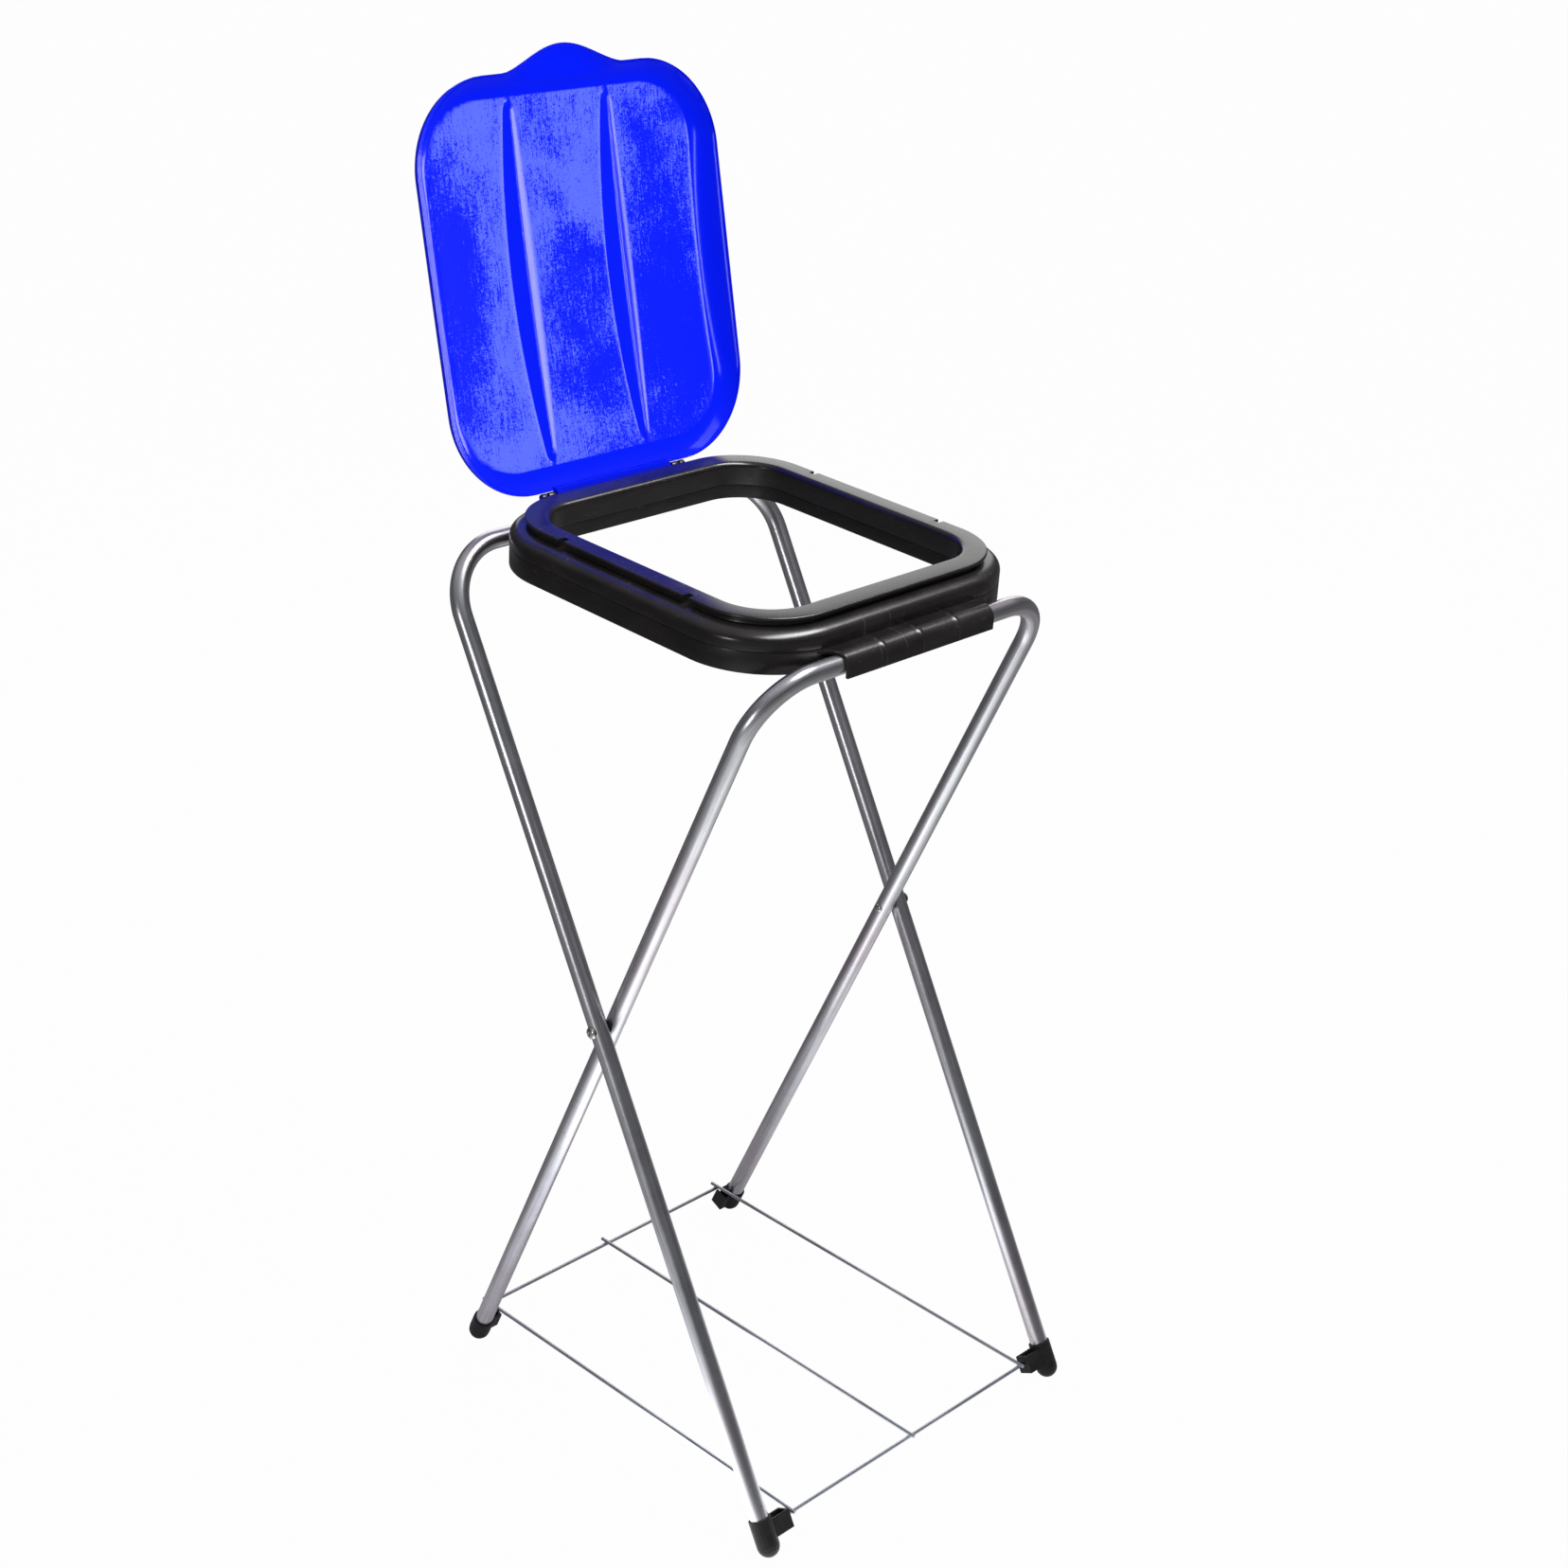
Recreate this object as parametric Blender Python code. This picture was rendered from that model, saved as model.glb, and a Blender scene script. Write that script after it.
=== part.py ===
"""Folding stand for bin bags, in metres, with +Z up and its front towards -Y.

Two U frames of steel tube cross as scissors. A lower ring hangs on their crossbars by two sleeves,
an upper ring clamps the bag on it, and a lid hinges at the back. A wire shelf joins the feet.
The stand is drawn with the scissor axis above Y = 0, then centred on its own footprint.
"""
import math

import bmesh
import bpy
import numpy as np
from mathutils import Matrix, Vector

# Fits
SEAT_GAP = 0.0003
PIN_CLEARANCE = 0.0003

# Tube frames
TUBE_DIAMETER = 0.016
TUBE_WALL = 0.0010
OUTER_HALF_WIDTH = 0.180
OUTER_LEAN = math.radians(27.0)
OUTER_LOWER_LENGTH = 0.4653
OUTER_UPPER_LENGTH = 0.4115
OUTER_BEND_RADIUS = 0.055
INNER_LEAN = math.radians(26.31)
INNER_UPPER_LENGTH = 0.3829
INNER_BEND_RADIUS = 0.053
TUBE_SIDES = 16
HOLE_SIDES = 12
BEND_STEPS = 8
SMOOTH_BELOW = math.radians(35.0)

# Pivots
RIVET_DIAMETER = 0.005
RIVET_HEAD_DIAMETER = 0.0105
RIVET_HEAD_HEIGHT = 0.0028
RIVET_TAIL_DIAMETER = 0.0085
RIVET_TAIL_HEIGHT = 0.0018
SPACER_THICKNESS = 0.0008
SPACER_DIAMETER = 0.012
DENT_DEPTH = 0.0006
DENT_LENGTH = 0.020
DENT_STEPS = (-1.0, -0.6, -0.25, 0.0, 0.25, 0.6, 1.0)
RIVET_SIDES = 16

# Feet
CAP_DIAMETER = 0.0198
FRONT_SLEEVE_LENGTH = 0.024
BACK_SLEEVE_LENGTH = 0.017
CAP_SIDES = 20
FLOOR_FLAT_DIAMETER = 0.007
BRACKET_WALL = 0.0022
BRACKET_DEPTH = 0.014
FRONT_BRACKET_HEIGHT = 0.016
FRONT_BRACKET_REACH = 0.0265
FRONT_BRACKET_BASE = 0.0150
FRONT_BRACKET_SHIFT = 0.0
BACK_BRACKET_HEIGHT = 0.017
BACK_BRACKET_REACH = 0.0180
BACK_BRACKET_BASE = 0.0094
BACK_BRACKET_SHIFT = 0.0022
BACK_WALL_CUT = 0.008

# Wire shelf
WIRE_DIAMETER = 0.0032
LONG_WIRE_SPACING = 0.1476
FRONT_WIRE_HEIGHT = 0.0088
FRONT_WIRE_SHIFT = 0.0012
FRONT_WIRE_INSERTION = 0.0070
BACK_WIRE_OVERLAP = 0.0080
BACK_WIRE_SETBACK = 0.0030
LONG_WIRE_OVERHANG = 0.0060
WIRE_SIDES = 8

# Rings, heights measured from the underside of the lower ring
RING_HALF_WIDTH = 0.1574
RING_CORNER_RADIUS = 0.075
RING_BAR_GAP = 0.0013
BAR_HEIGHT_IN_RING = 0.0055
RING_WALL = 0.0025
LOWER_RING_HEIGHT = 0.0177
LOWER_RING_STEP = 0.0024
INNER_SKIRT_HEIGHT = 0.0078
RING_BAND = 0.0310
DECK_STEP_SHARE = 0.45
SHOULDER_HEIGHT = 0.0288
SHOULDER_ROUND = 0.0018
SHOULDER_RISE = 0.0048
GROOVE_DEPTH = 0.0045
FLANGE_TOP = 0.0411
FLANGE_THICKNESS = 0.0026
FLANGE_CHAMFER = 0.0008
FLANGE_ROUND = 0.0020
FLANGE_INSET_SIDE = 0.0133
FLANGE_INSET_END = 0.0107
RIM_DRAFT = 0.0020
CORNER_STEPS = 10
NOTCH_SPACING = 0.073
NOTCH_WIDTH = 0.0070
NOTCH_DEPTH = 0.0115
RELIEF_OVER_BAR = 0.0015

# Sleeves over the crossbars
SLEEVE_HALF_LENGTH = 0.083
SLEEVE_WALL = 0.0025
SLEEVE_CLEARANCE = 0.0004

# Hinge at the back, behind the rings
HINGE_BEHIND_RING = 0.0047
HINGE_HEIGHT = 0.0330
HINGE_PIN_DIAMETER = 0.003
KNUCKLE_DIAMETER = 0.0068
KNUCKLE_INNER = 0.058
KNUCKLE_WIDTH = 0.006
LUG_WIDTH = 0.007
EAR_WIDTH = 0.005
HINGE_SIDE_GAP = 0.0020
HINGE_SIDES = 16

# Lid, drawn open
LID_OPEN_LEAN = math.radians(9.45)
LID_OVERHANG = 0.0033
LID_FRONT_SETBACK = 0.0010
LID_EDGE_RISE = 0.0038
LID_CORNER_RADIUS = 0.0764
LID_WALL = 0.0025
LID_RIM_DEPTH = 0.0104
LID_RIM_FULLNESS = 0.6
LID_RIM_BAND = 0.0195
LID_DOME = 0.0090
LID_RIB_SPACING = 0.052
LID_RIB_HALF_WIDTH = 0.0085
LID_RIB_HEIGHT = 0.0045
LID_RIB_START = 0.017
LID_RIB_END = 0.322
RIM_SHARES = (0.0, 0.06, 0.2, 0.45, 0.75, 1.0)
RIB_SHARES = (1.0, 0.5, 0.0, -0.5, -1.0)
TAB_BAND_SHARE = 0.45
TAB_HALF_WIDTH = 0.060
TAB_HEIGHT = 0.019

# Sizes that follow
TUBE_RADIUS = TUBE_DIAMETER / 2
CAP_RADIUS = CAP_DIAMETER / 2
WIRE_RADIUS = WIRE_DIAMETER / 2
PIVOT_HEIGHT = OUTER_LOWER_LENGTH * math.cos(OUTER_LEAN)
INNER_LOWER_LENGTH = PIVOT_HEIGHT / math.cos(INNER_LEAN)
INNER_HALF_WIDTH = OUTER_HALF_WIDTH - TUBE_DIAMETER - SPACER_THICKNESS - 2 * SEAT_GAP
OUTER_UP = Vector((0, math.sin(OUTER_LEAN), math.cos(OUTER_LEAN)))
INNER_UP = Vector((0, -math.sin(INNER_LEAN), math.cos(INNER_LEAN)))
PIVOT = Vector((0, 0, PIVOT_HEIGHT))
BACK_BAR = PIVOT + OUTER_UP * OUTER_UPPER_LENGTH
FRONT_BAR = PIVOT + INNER_UP * INNER_UPPER_LENGTH
RING_HALF_DEPTH = (BACK_BAR - FRONT_BAR).length / 2 - TUBE_RADIUS - RING_BAR_GAP
RING_TILT = math.atan2(BACK_BAR.z - FRONT_BAR.z, BACK_BAR.y - FRONT_BAR.y)
RING_PLACE = (
    Matrix.Translation((BACK_BAR + FRONT_BAR) / 2)
    @ Matrix.Rotation(RING_TILT, 4, "X")
    @ Matrix.Translation((0, 0, -BAR_HEIGHT_IN_RING))
)
HINGE_IN_RING = Vector((0, RING_HALF_DEPTH + HINGE_BEHIND_RING, HINGE_HEIGHT))
HINGE = RING_PLACE @ HINGE_IN_RING
LID_LENGTH = HINGE_IN_RING.y + RING_HALF_DEPTH - LID_FRONT_SETBACK - LID_EDGE_RISE
LID_HALF_WIDTH = RING_HALF_WIDTH + LID_OVERHANG
CAP_CENTRE_HEIGHT = math.sqrt(CAP_RADIUS**2 - (FLOOR_FLAT_DIAMETER / 2) ** 2)


def clear_scene():
    for item in list(bpy.data.objects):
        bpy.data.objects.remove(item, do_unlink=True)


def plastic_or_metal(name, colour, roughness, metallic=0.0):
    material = bpy.data.materials.new(name)
    material.use_nodes = True
    shader = material.node_tree.nodes["Principled BSDF"]
    shader.inputs["Base Color"].default_value = (*colour, 1.0)
    shader.inputs["Roughness"].default_value = roughness
    shader.inputs["Metallic"].default_value = metallic
    return material


def axis_empty(name, point, parent=None):
    """An empty on a joint's axis; its children are drawn in the stand's own space."""
    empty = bpy.data.objects.new(name, None)
    empty.empty_display_size = 0.03
    origin = Vector(parent["drawn_at"]) if parent else Vector((0, 0, 0))
    empty["drawn_at"] = list(point)
    empty.location = Vector(point) - origin
    empty.parent = parent
    bpy.context.scene.collection.objects.link(empty)
    return empty


def add_object(name, mesh, material, axis):
    """Puts a mesh drawn in the stand's space on its joint's axis."""
    mesh.transform(Matrix.Translation(-Vector(axis["drawn_at"])))
    if material:
        mesh.materials.append(material)
    mesh.shade_smooth()
    mesh.set_sharp_from_angle(angle=SMOOTH_BELOW)
    piece = bpy.data.objects.new(name, mesh)
    piece.parent = axis
    bpy.context.scene.collection.objects.link(piece)
    return piece


def combine(piece, mesh, operation):
    """Adds a mesh to a piece or cuts it away, through a hidden guide object."""
    guide = add_object(piece.name + "_" + operation.lower(), mesh, None, piece.parent)
    guide.hide_render = True
    guide.display_type = "WIRE"
    step = piece.modifiers.new(operation.capitalize(), "BOOLEAN")
    step.operation = operation
    step.object = guide
    step.solver = "EXACT"


def skin(name, rings, closed=True, capped=False):
    """A mesh over rows of points; closed joins the last row to the first, capped fills both ends."""
    rings = np.asarray(rings, dtype=float)
    count, sides, _ = rings.shape
    index = np.arange(count * sides).reshape(count, sides)
    rows = index if not closed else np.vstack([index, index[:1]])
    across = np.roll(rows, -1, axis=1)
    quads = np.stack([rows[:-1], across[:-1], across[1:], rows[1:]], axis=-1).reshape(-1, 4)
    faces = quads.tolist()
    if capped:
        faces.append(index[0][::-1].tolist())
        faces.append(index[-1].tolist())
    mesh = bpy.data.meshes.new(name)
    mesh.from_pydata(rings.reshape(-1, 3).tolist(), [], faces)
    return outward(mesh)


def outward(mesh):
    """Turns a closed mesh's faces to point out."""
    work = bmesh.new()
    work.from_mesh(mesh)
    bmesh.ops.remove_doubles(work, verts=work.verts, dist=0.00001)
    bmesh.ops.recalc_face_normals(work, faces=work.faces)
    if work.calc_volume(signed=True) < 0:
        bmesh.ops.reverse_faces(work, faces=work.faces)
    work.to_mesh(mesh)
    work.free()
    return mesh


def merged(name, meshes):
    """One mesh holding several separate closed shells, used for cutters."""
    work = bmesh.new()
    for part in meshes:
        work.from_mesh(part)
    mesh = bpy.data.meshes.new(name)
    work.to_mesh(mesh)
    work.free()
    return mesh


def box(name, low, high, place=None):
    """A box between two corners, turned and moved by a matrix."""
    work = bmesh.new()
    bmesh.ops.create_cube(work, size=1.0)
    size = Vector(high) - Vector(low)
    centre = (Vector(high) + Vector(low)) / 2
    bmesh.ops.transform(work, verts=work.verts, matrix=Matrix.LocRotScale(centre, None, size))
    if place:
        bmesh.ops.transform(work, verts=work.verts, matrix=place)
    mesh = bpy.data.meshes.new(name)
    work.to_mesh(mesh)
    work.free()
    return outward(mesh)


def extruded(name, outline, low, high, place=None):
    """A flat outline of (y, z) points extruded along X between two places."""
    rows = [[(x, y, z) for y, z in outline] for x in (low, high)]
    mesh = skin(name, rings=rows, closed=False, capped=True)
    if place:
        mesh.transform(place)
    return mesh


def turned(name, profile, base, direction, sides):
    """A closed (radius, height) profile spun about an axis; its end points lie on the axis."""
    work = bmesh.new()
    corners = [work.verts.new((radius, 0, height)) for radius, height in profile]
    edges = [work.edges.new(pair) for pair in zip(corners, corners[1:])]
    bmesh.ops.spin(
        work,
        geom=corners + edges,
        cent=(0, 0, 0),
        axis=(0, 0, 1),
        angle=math.tau,
        steps=sides,
        use_merge=True,
    )
    mesh = bpy.data.meshes.new(name)
    work.to_mesh(mesh)
    work.free()
    turn = Vector((0, 0, 1)).rotation_difference(direction).to_matrix().to_4x4()
    mesh.transform(Matrix.Translation(base) @ turn)
    return outward(mesh)


def rod(name, start, end, radius, sides):
    """A plain round bar between two points."""
    start = Vector(start)
    run = Vector(end) - start
    profile = [(0, 0), (radius, 0), (radius, run.length), (0, run.length)]
    return turned(name, profile, start, run.normalized(), sides)


def frame_path(half_width, up, lower, upper, bend, start):
    """Centreline of a U frame: up one leg, round two bends and down the other leg.

    Each row is a point with the unit tangent there. The bends are quarter circles.
    """
    top = PIVOT + up * upper
    foot = PIVOT - up * (lower - start)
    leg = [foot] + [PIVOT + up * (step * DENT_LENGTH / 2) for step in DENT_STEPS]
    side = Vector((half_width, 0, 0))
    rows = [(point + side, up) for point in leg]
    centre = top - up * bend + Vector((half_width - bend, 0, 0))
    for step in range(BEND_STEPS + 1):
        turn = math.pi / 2 * step / BEND_STEPS
        point = centre + Vector((bend * math.cos(turn), 0, 0)) + up * (bend * math.sin(turn))
        rows.append((point, up * math.cos(turn) - Vector((math.sin(turn), 0, 0))))
    mirror = Vector((-1, 1, 1))
    rows += [(point * mirror, -tangent * mirror) for point, tangent in reversed(rows)]
    return rows


def tube_mesh(name, rows, plane_normal, dent=0.0):
    """Hollow tube along a path in one plane: outer skin there, inner skin back, ends closed by rings.

    The dent flattens the side that faces away from the middle, deepest at the pivot.
    """
    angles = np.arange(TUBE_SIDES) * math.tau / TUBE_SIDES
    skins = []
    for radius, order in ((TUBE_RADIUS, rows), (TUBE_RADIUS - TUBE_WALL, rows[::-1])):
        for point, tangent in order:
            across = plane_normal.cross(tangent).normalized()
            ring = [
                point + across * (radius * math.cos(a)) + plane_normal * (radius * math.sin(a))
                for a in angles
            ]
            away = (point - PIVOT).yz.length / (DENT_LENGTH / 2)
            depth = dent * max(0.0, 1 - away**2) ** 2
            face = math.copysign(abs(point.x) + radius - depth, point.x)
            if depth > 0:
                for corner in ring:
                    if abs(corner.x) > abs(face):
                        corner.x = face
            skins.append(ring)
    return skin(name, skins, closed=True)


def rivet_holes(name, low, high):
    radius = RIVET_DIAMETER / 2 + PIN_CLEARANCE
    holes = [rod(name, PIVOT + Vector((s * low, 0, 0)), PIVOT + Vector((s * high, 0, 0)), radius,
                 HOLE_SIDES) for s in (-1, 1)]
    return merged(name, holes)


def make_frames(stand, fold_axis, zinc):
    """The two U tubes, drilled for the rivets; the inner one is dented where they cross."""
    start = CAP_CENTRE_HEIGHT
    outer_path = frame_path(OUTER_HALF_WIDTH, OUTER_UP, OUTER_LOWER_LENGTH, OUTER_UPPER_LENGTH,
                            OUTER_BEND_RADIUS, start / math.cos(OUTER_LEAN))
    outer_mesh = tube_mesh("outer_frame_tube", outer_path, Vector((1, 0, 0)).cross(OUTER_UP))
    outer = add_object("outer_frame_tube", outer_mesh, zinc, stand)
    reach = TUBE_DIAMETER
    combine(outer, rivet_holes("hole", OUTER_HALF_WIDTH - reach, OUTER_HALF_WIDTH + reach), "DIFFERENCE")
    inner_path = frame_path(INNER_HALF_WIDTH, INNER_UP, INNER_LOWER_LENGTH, INNER_UPPER_LENGTH,
                            INNER_BEND_RADIUS, start / math.cos(INNER_LEAN))
    inner_mesh = tube_mesh("inner_frame_tube", inner_path, Vector((1, 0, 0)).cross(INNER_UP), DENT_DEPTH)
    inner = add_object("inner_frame_tube", inner_mesh, zinc, fold_axis)
    combine(inner, rivet_holes("hole", INNER_HALF_WIDTH - reach, INNER_HALF_WIDTH + reach), "DIFFERENCE")


def make_pivots(stand, nickel, steel):
    """Domed rivets from outside to inside, with a thin washer between the tubes."""
    shaft = RIVET_DIAMETER / 2
    head = RIVET_HEAD_DIAMETER / 2
    tail = RIVET_TAIL_DIAMETER / 2
    under_head = OUTER_HALF_WIDTH + TUBE_RADIUS + SEAT_GAP
    over_tail = INNER_HALF_WIDTH - TUBE_RADIUS - SEAT_GAP
    grip = under_head - over_tail
    domed = [(head * math.sin(a), -RIVET_HEAD_HEIGHT * math.cos(a))
             for a in np.linspace(0, math.pi / 2, 5)]
    formed = [(tail * math.cos(a), grip + RIVET_TAIL_HEIGHT * math.sin(a))
              for a in np.linspace(0, math.pi / 2, 4)]
    profile = [(max(0.0, r), h) for r, h in domed + [(shaft, 0), (shaft, grip)] + formed]
    profile[-1] = (0, profile[-1][1])
    for side, name in ((-1, "left"), (1, "right")):
        base = PIVOT + Vector((side * under_head, 0, 0))
        mesh = turned("pivot_rivet_" + name, profile, base, Vector((-side, 0, 0)), RIVET_SIDES)
        add_object("pivot_rivet_" + name, mesh, nickel, stand)
        middle = OUTER_HALF_WIDTH - TUBE_RADIUS - SEAT_GAP - SPACER_THICKNESS / 2
        bore = shaft + PIN_CLEARANCE
        rim = SPACER_DIAMETER / 2
        half = SPACER_THICKNESS / 2
        angles = np.arange(RIVET_SIDES) * math.tau / RIVET_SIDES
        loops = [[(side * middle + x, r * math.cos(a), PIVOT_HEIGHT + r * math.sin(a)) for a in angles]
                 for r, x in ((rim, -half), (rim, half), (bore, half), (bore, -half))]
        washer = skin("pivot_spacer_" + name, loops)
        add_object("pivot_spacer_" + name, washer, steel, stand)


def foot_mesh(name, side, half_width, up, lower, bracket):
    """Moulded foot: a round cap on the tube's end, cut flat on the floor, with a pocket beside it."""
    sleeve, height, reach, base, shift, wire_hole = bracket
    floor_point = PIVOT - up * lower + Vector((side * half_width, 0, 0))
    inward = Vector((-side, 0, 0))
    back = Vector((0, up.z, -up.y))
    middle = CAP_CENTRE_HEIGHT / up.z
    bore = TUBE_RADIUS + SEAT_GAP
    dome = [(CAP_RADIUS * math.sin(a), -CAP_RADIUS * math.cos(a)) for a in np.linspace(0, math.pi / 2, 6)]
    dome[0] = (0, -CAP_RADIUS)
    cap = turned(name, dome + [(CAP_RADIUS, sleeve), (bore, sleeve), (bore, -SEAT_GAP), (0, -SEAT_GAP)],
                 floor_point + up * middle, up, CAP_SIDES)
    place = Matrix.Translation(floor_point) @ Matrix((inward, back, up)).transposed().to_4x4()
    near = shift - BRACKET_DEPTH / 2
    far = shift + BRACKET_DEPTH / 2
    top = base + height
    pocket_start = CAP_RADIUS
    block = box(name + "_bracket", (0, near, base), (reach, far, top), place)
    hollow = [box("pocket", (pocket_start, near + BRACKET_WALL, base + BRACKET_WALL),
                  (reach - BRACKET_WALL, far - BRACKET_WALL, top + BRACKET_WALL), place)]
    if wire_hole:
        hollow_radius = WIRE_RADIUS + PIN_CLEARANCE
        centre = place @ Vector((reach - BRACKET_WALL * 1.5, *wire_hole))
        hollow.append(rod("hole", centre, centre + inward * BRACKET_WALL * 2, hollow_radius, HOLE_SIDES))
    else:
        hollow.append(box("notch", (pocket_start, far - BRACKET_WALL * 1.5, top - BACK_WALL_CUT),
                          (reach - BRACKET_WALL, far + BRACKET_WALL, top + BRACKET_WALL * 1.5), place))
    return cap, block, hollow


def cut_on_floor(mesh):
    """Slices a mesh level with the floor and closes the cut."""
    work = bmesh.new()
    work.from_mesh(mesh)
    everything = work.verts[:] + work.edges[:] + work.faces[:]
    cut = bmesh.ops.bisect_plane(work, geom=everything, plane_co=(0, 0, 0), plane_no=(0, 0, -1),
                                 clear_outer=True)
    edges = [item for item in cut["geom_cut"] if isinstance(item, bmesh.types.BMEdge)]
    bmesh.ops.contextual_create(work, geom=edges)
    work.to_mesh(mesh)
    work.free()
    return outward(mesh)


def front_wire_place():
    """Where the front cross wire runs, as height along the leg and shift behind it, and in (y, z)."""
    along = FRONT_BRACKET_BASE + FRONT_WIRE_HEIGHT
    back = Vector((0, OUTER_UP.z, -OUTER_UP.y))
    point = PIVOT - OUTER_UP * (OUTER_LOWER_LENGTH - along) + back * FRONT_WIRE_SHIFT
    return (FRONT_WIRE_SHIFT, along), point


def make_feet(stand, fold_axis, rubber):
    wire_hole, _ = front_wire_place()
    front = (FRONT_SLEEVE_LENGTH, FRONT_BRACKET_HEIGHT, FRONT_BRACKET_REACH, FRONT_BRACKET_BASE,
             FRONT_BRACKET_SHIFT, wire_hole)
    rear = (BACK_SLEEVE_LENGTH, BACK_BRACKET_HEIGHT, BACK_BRACKET_REACH, BACK_BRACKET_BASE,
            BACK_BRACKET_SHIFT, None)
    kinds = (
        ("front", stand, OUTER_HALF_WIDTH, OUTER_UP, OUTER_LOWER_LENGTH, front),
        ("back", fold_axis, INNER_HALF_WIDTH, INNER_UP, INNER_LOWER_LENGTH, rear),
    )
    for end, axis, half_width, up, lower, bracket in kinds:
        for side, hand in ((-1, "left"), (1, "right")):
            name = f"foot_{end}_{hand}"
            cap, block, hollow = foot_mesh(name, side, half_width, up, lower, bracket)
            foot = add_object(name, cut_on_floor(cap), rubber, axis)
            bore_point = PIVOT - up * (lower - CAP_CENTRE_HEIGHT / up.z) + Vector((side * half_width, 0, 0))
            bore = rod("bore", bore_point - up * SEAT_GAP, bore_point + up * FRONT_SLEEVE_LENGTH * 2,
                       TUBE_RADIUS + SEAT_GAP, CAP_SIDES)
            combine(foot, block, "UNION")
            for cutter in hollow + [bore]:
                combine(foot, cutter, "DIFFERENCE")


def make_wire_shelf(grid_axis, zinc_wire):
    """Two cross wires with three long wires lying on them; the front one turns in the front feet."""
    _, front = front_wire_place()
    front_reach = OUTER_HALF_WIDTH - FRONT_BRACKET_REACH + FRONT_WIRE_INSERTION
    add_object("grid_wire_front", rod("wire", (-front_reach, front.y, front.z),
               (front_reach, front.y, front.z), WIRE_RADIUS, WIRE_SIDES), zinc_wire, grid_axis)
    stacked = WIRE_DIAMETER + SEAT_GAP
    back = Vector((0, INNER_UP.z, -INNER_UP.y))
    far = BACK_BRACKET_SHIFT + BRACKET_DEPTH / 2
    floor_point = PIVOT - INNER_UP * INNER_LOWER_LENGTH
    edge = floor_point + INNER_UP * (BACK_BRACKET_BASE + BACK_BRACKET_HEIGHT) + back * far
    high = Vector((0, edge.y, edge.z + WIRE_RADIUS + SEAT_GAP))
    low = Vector((0, front.y, front.z + stacked))
    slope = (high - low).normalized()
    rear_y = edge.y + BACK_WIRE_SETBACK + WIRE_RADIUS
    rear = low + slope * ((rear_y - low.y) / slope.y)
    cross = rear - Vector((0, 0, stacked))
    reach = INNER_HALF_WIDTH - BACK_BRACKET_REACH + BACK_WIRE_OVERLAP
    add_object("grid_wire_back", rod("wire", (-reach, cross.y, cross.z), (reach, cross.y, cross.z),
               WIRE_RADIUS, WIRE_SIDES), zinc_wire, grid_axis)
    start = low - slope * LONG_WIRE_OVERHANG
    end = rear + slope * LONG_WIRE_OVERHANG
    for place, hand in ((-1, "left"), (0, "middle"), (1, "right")):
        side = Vector((place * LONG_WIRE_SPACING, 0, 0))
        add_object("grid_wire_" + hand, rod("wire", start + side, end + side, WIRE_RADIUS, WIRE_SIDES),
                   zinc_wire, grid_axis)


def rounded_loop(half_x, half_y, radius, height):
    """Points round a rectangle with quarter-circle corners, counter-clockwise from above."""
    turns = np.linspace(0, math.pi / 2, CORNER_STEPS + 1)
    rows = []
    for corner, (sx, sy) in enumerate(((1, 1), (-1, 1), (-1, -1), (1, -1))):
        angle = turns + corner * math.pi / 2
        x = sx * (half_x - radius) + radius * np.cos(angle)
        y = sy * (half_y - radius) + radius * np.sin(angle)
        rows.append(np.stack([x, y, np.full_like(x, height)], axis=1))
    return np.vstack(rows)


def ring_mesh(name, section):
    """A ring whose section is a list of (side inset, end inset, height) from the outer wall."""
    loops = [
        rounded_loop(
            RING_HALF_WIDTH - side,
            RING_HALF_DEPTH - end,
            RING_CORNER_RADIUS - (side + end) / 2,
            height,
        )
        for side, end, height in section
    ]
    mesh = skin(name, loops)
    mesh.transform(RING_PLACE)
    return mesh


def lower_section():
    """Inverted channel with a stepped top: outer wall, deck, inner skirt."""
    wall = RING_WALL
    top = LOWER_RING_HEIGHT - SEAT_GAP / 2
    high = top + LOWER_RING_STEP
    step = RING_BAND * DECK_STEP_SHARE
    band = RING_BAND
    skirt = band - RIM_DRAFT / 2
    points = [
        (0, 0), (0, top), (step, top), (step + LOWER_RING_STEP, high), (band, high),
        (skirt, INNER_SKIRT_HEIGHT), (skirt - wall, INNER_SKIRT_HEIGHT), (band - wall, high - wall),
        (step + LOWER_RING_STEP, high - wall), (step, top - wall), (wall, top - wall), (wall, 0),
    ]
    return [(inset, inset, height) for inset, height in points]


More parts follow.
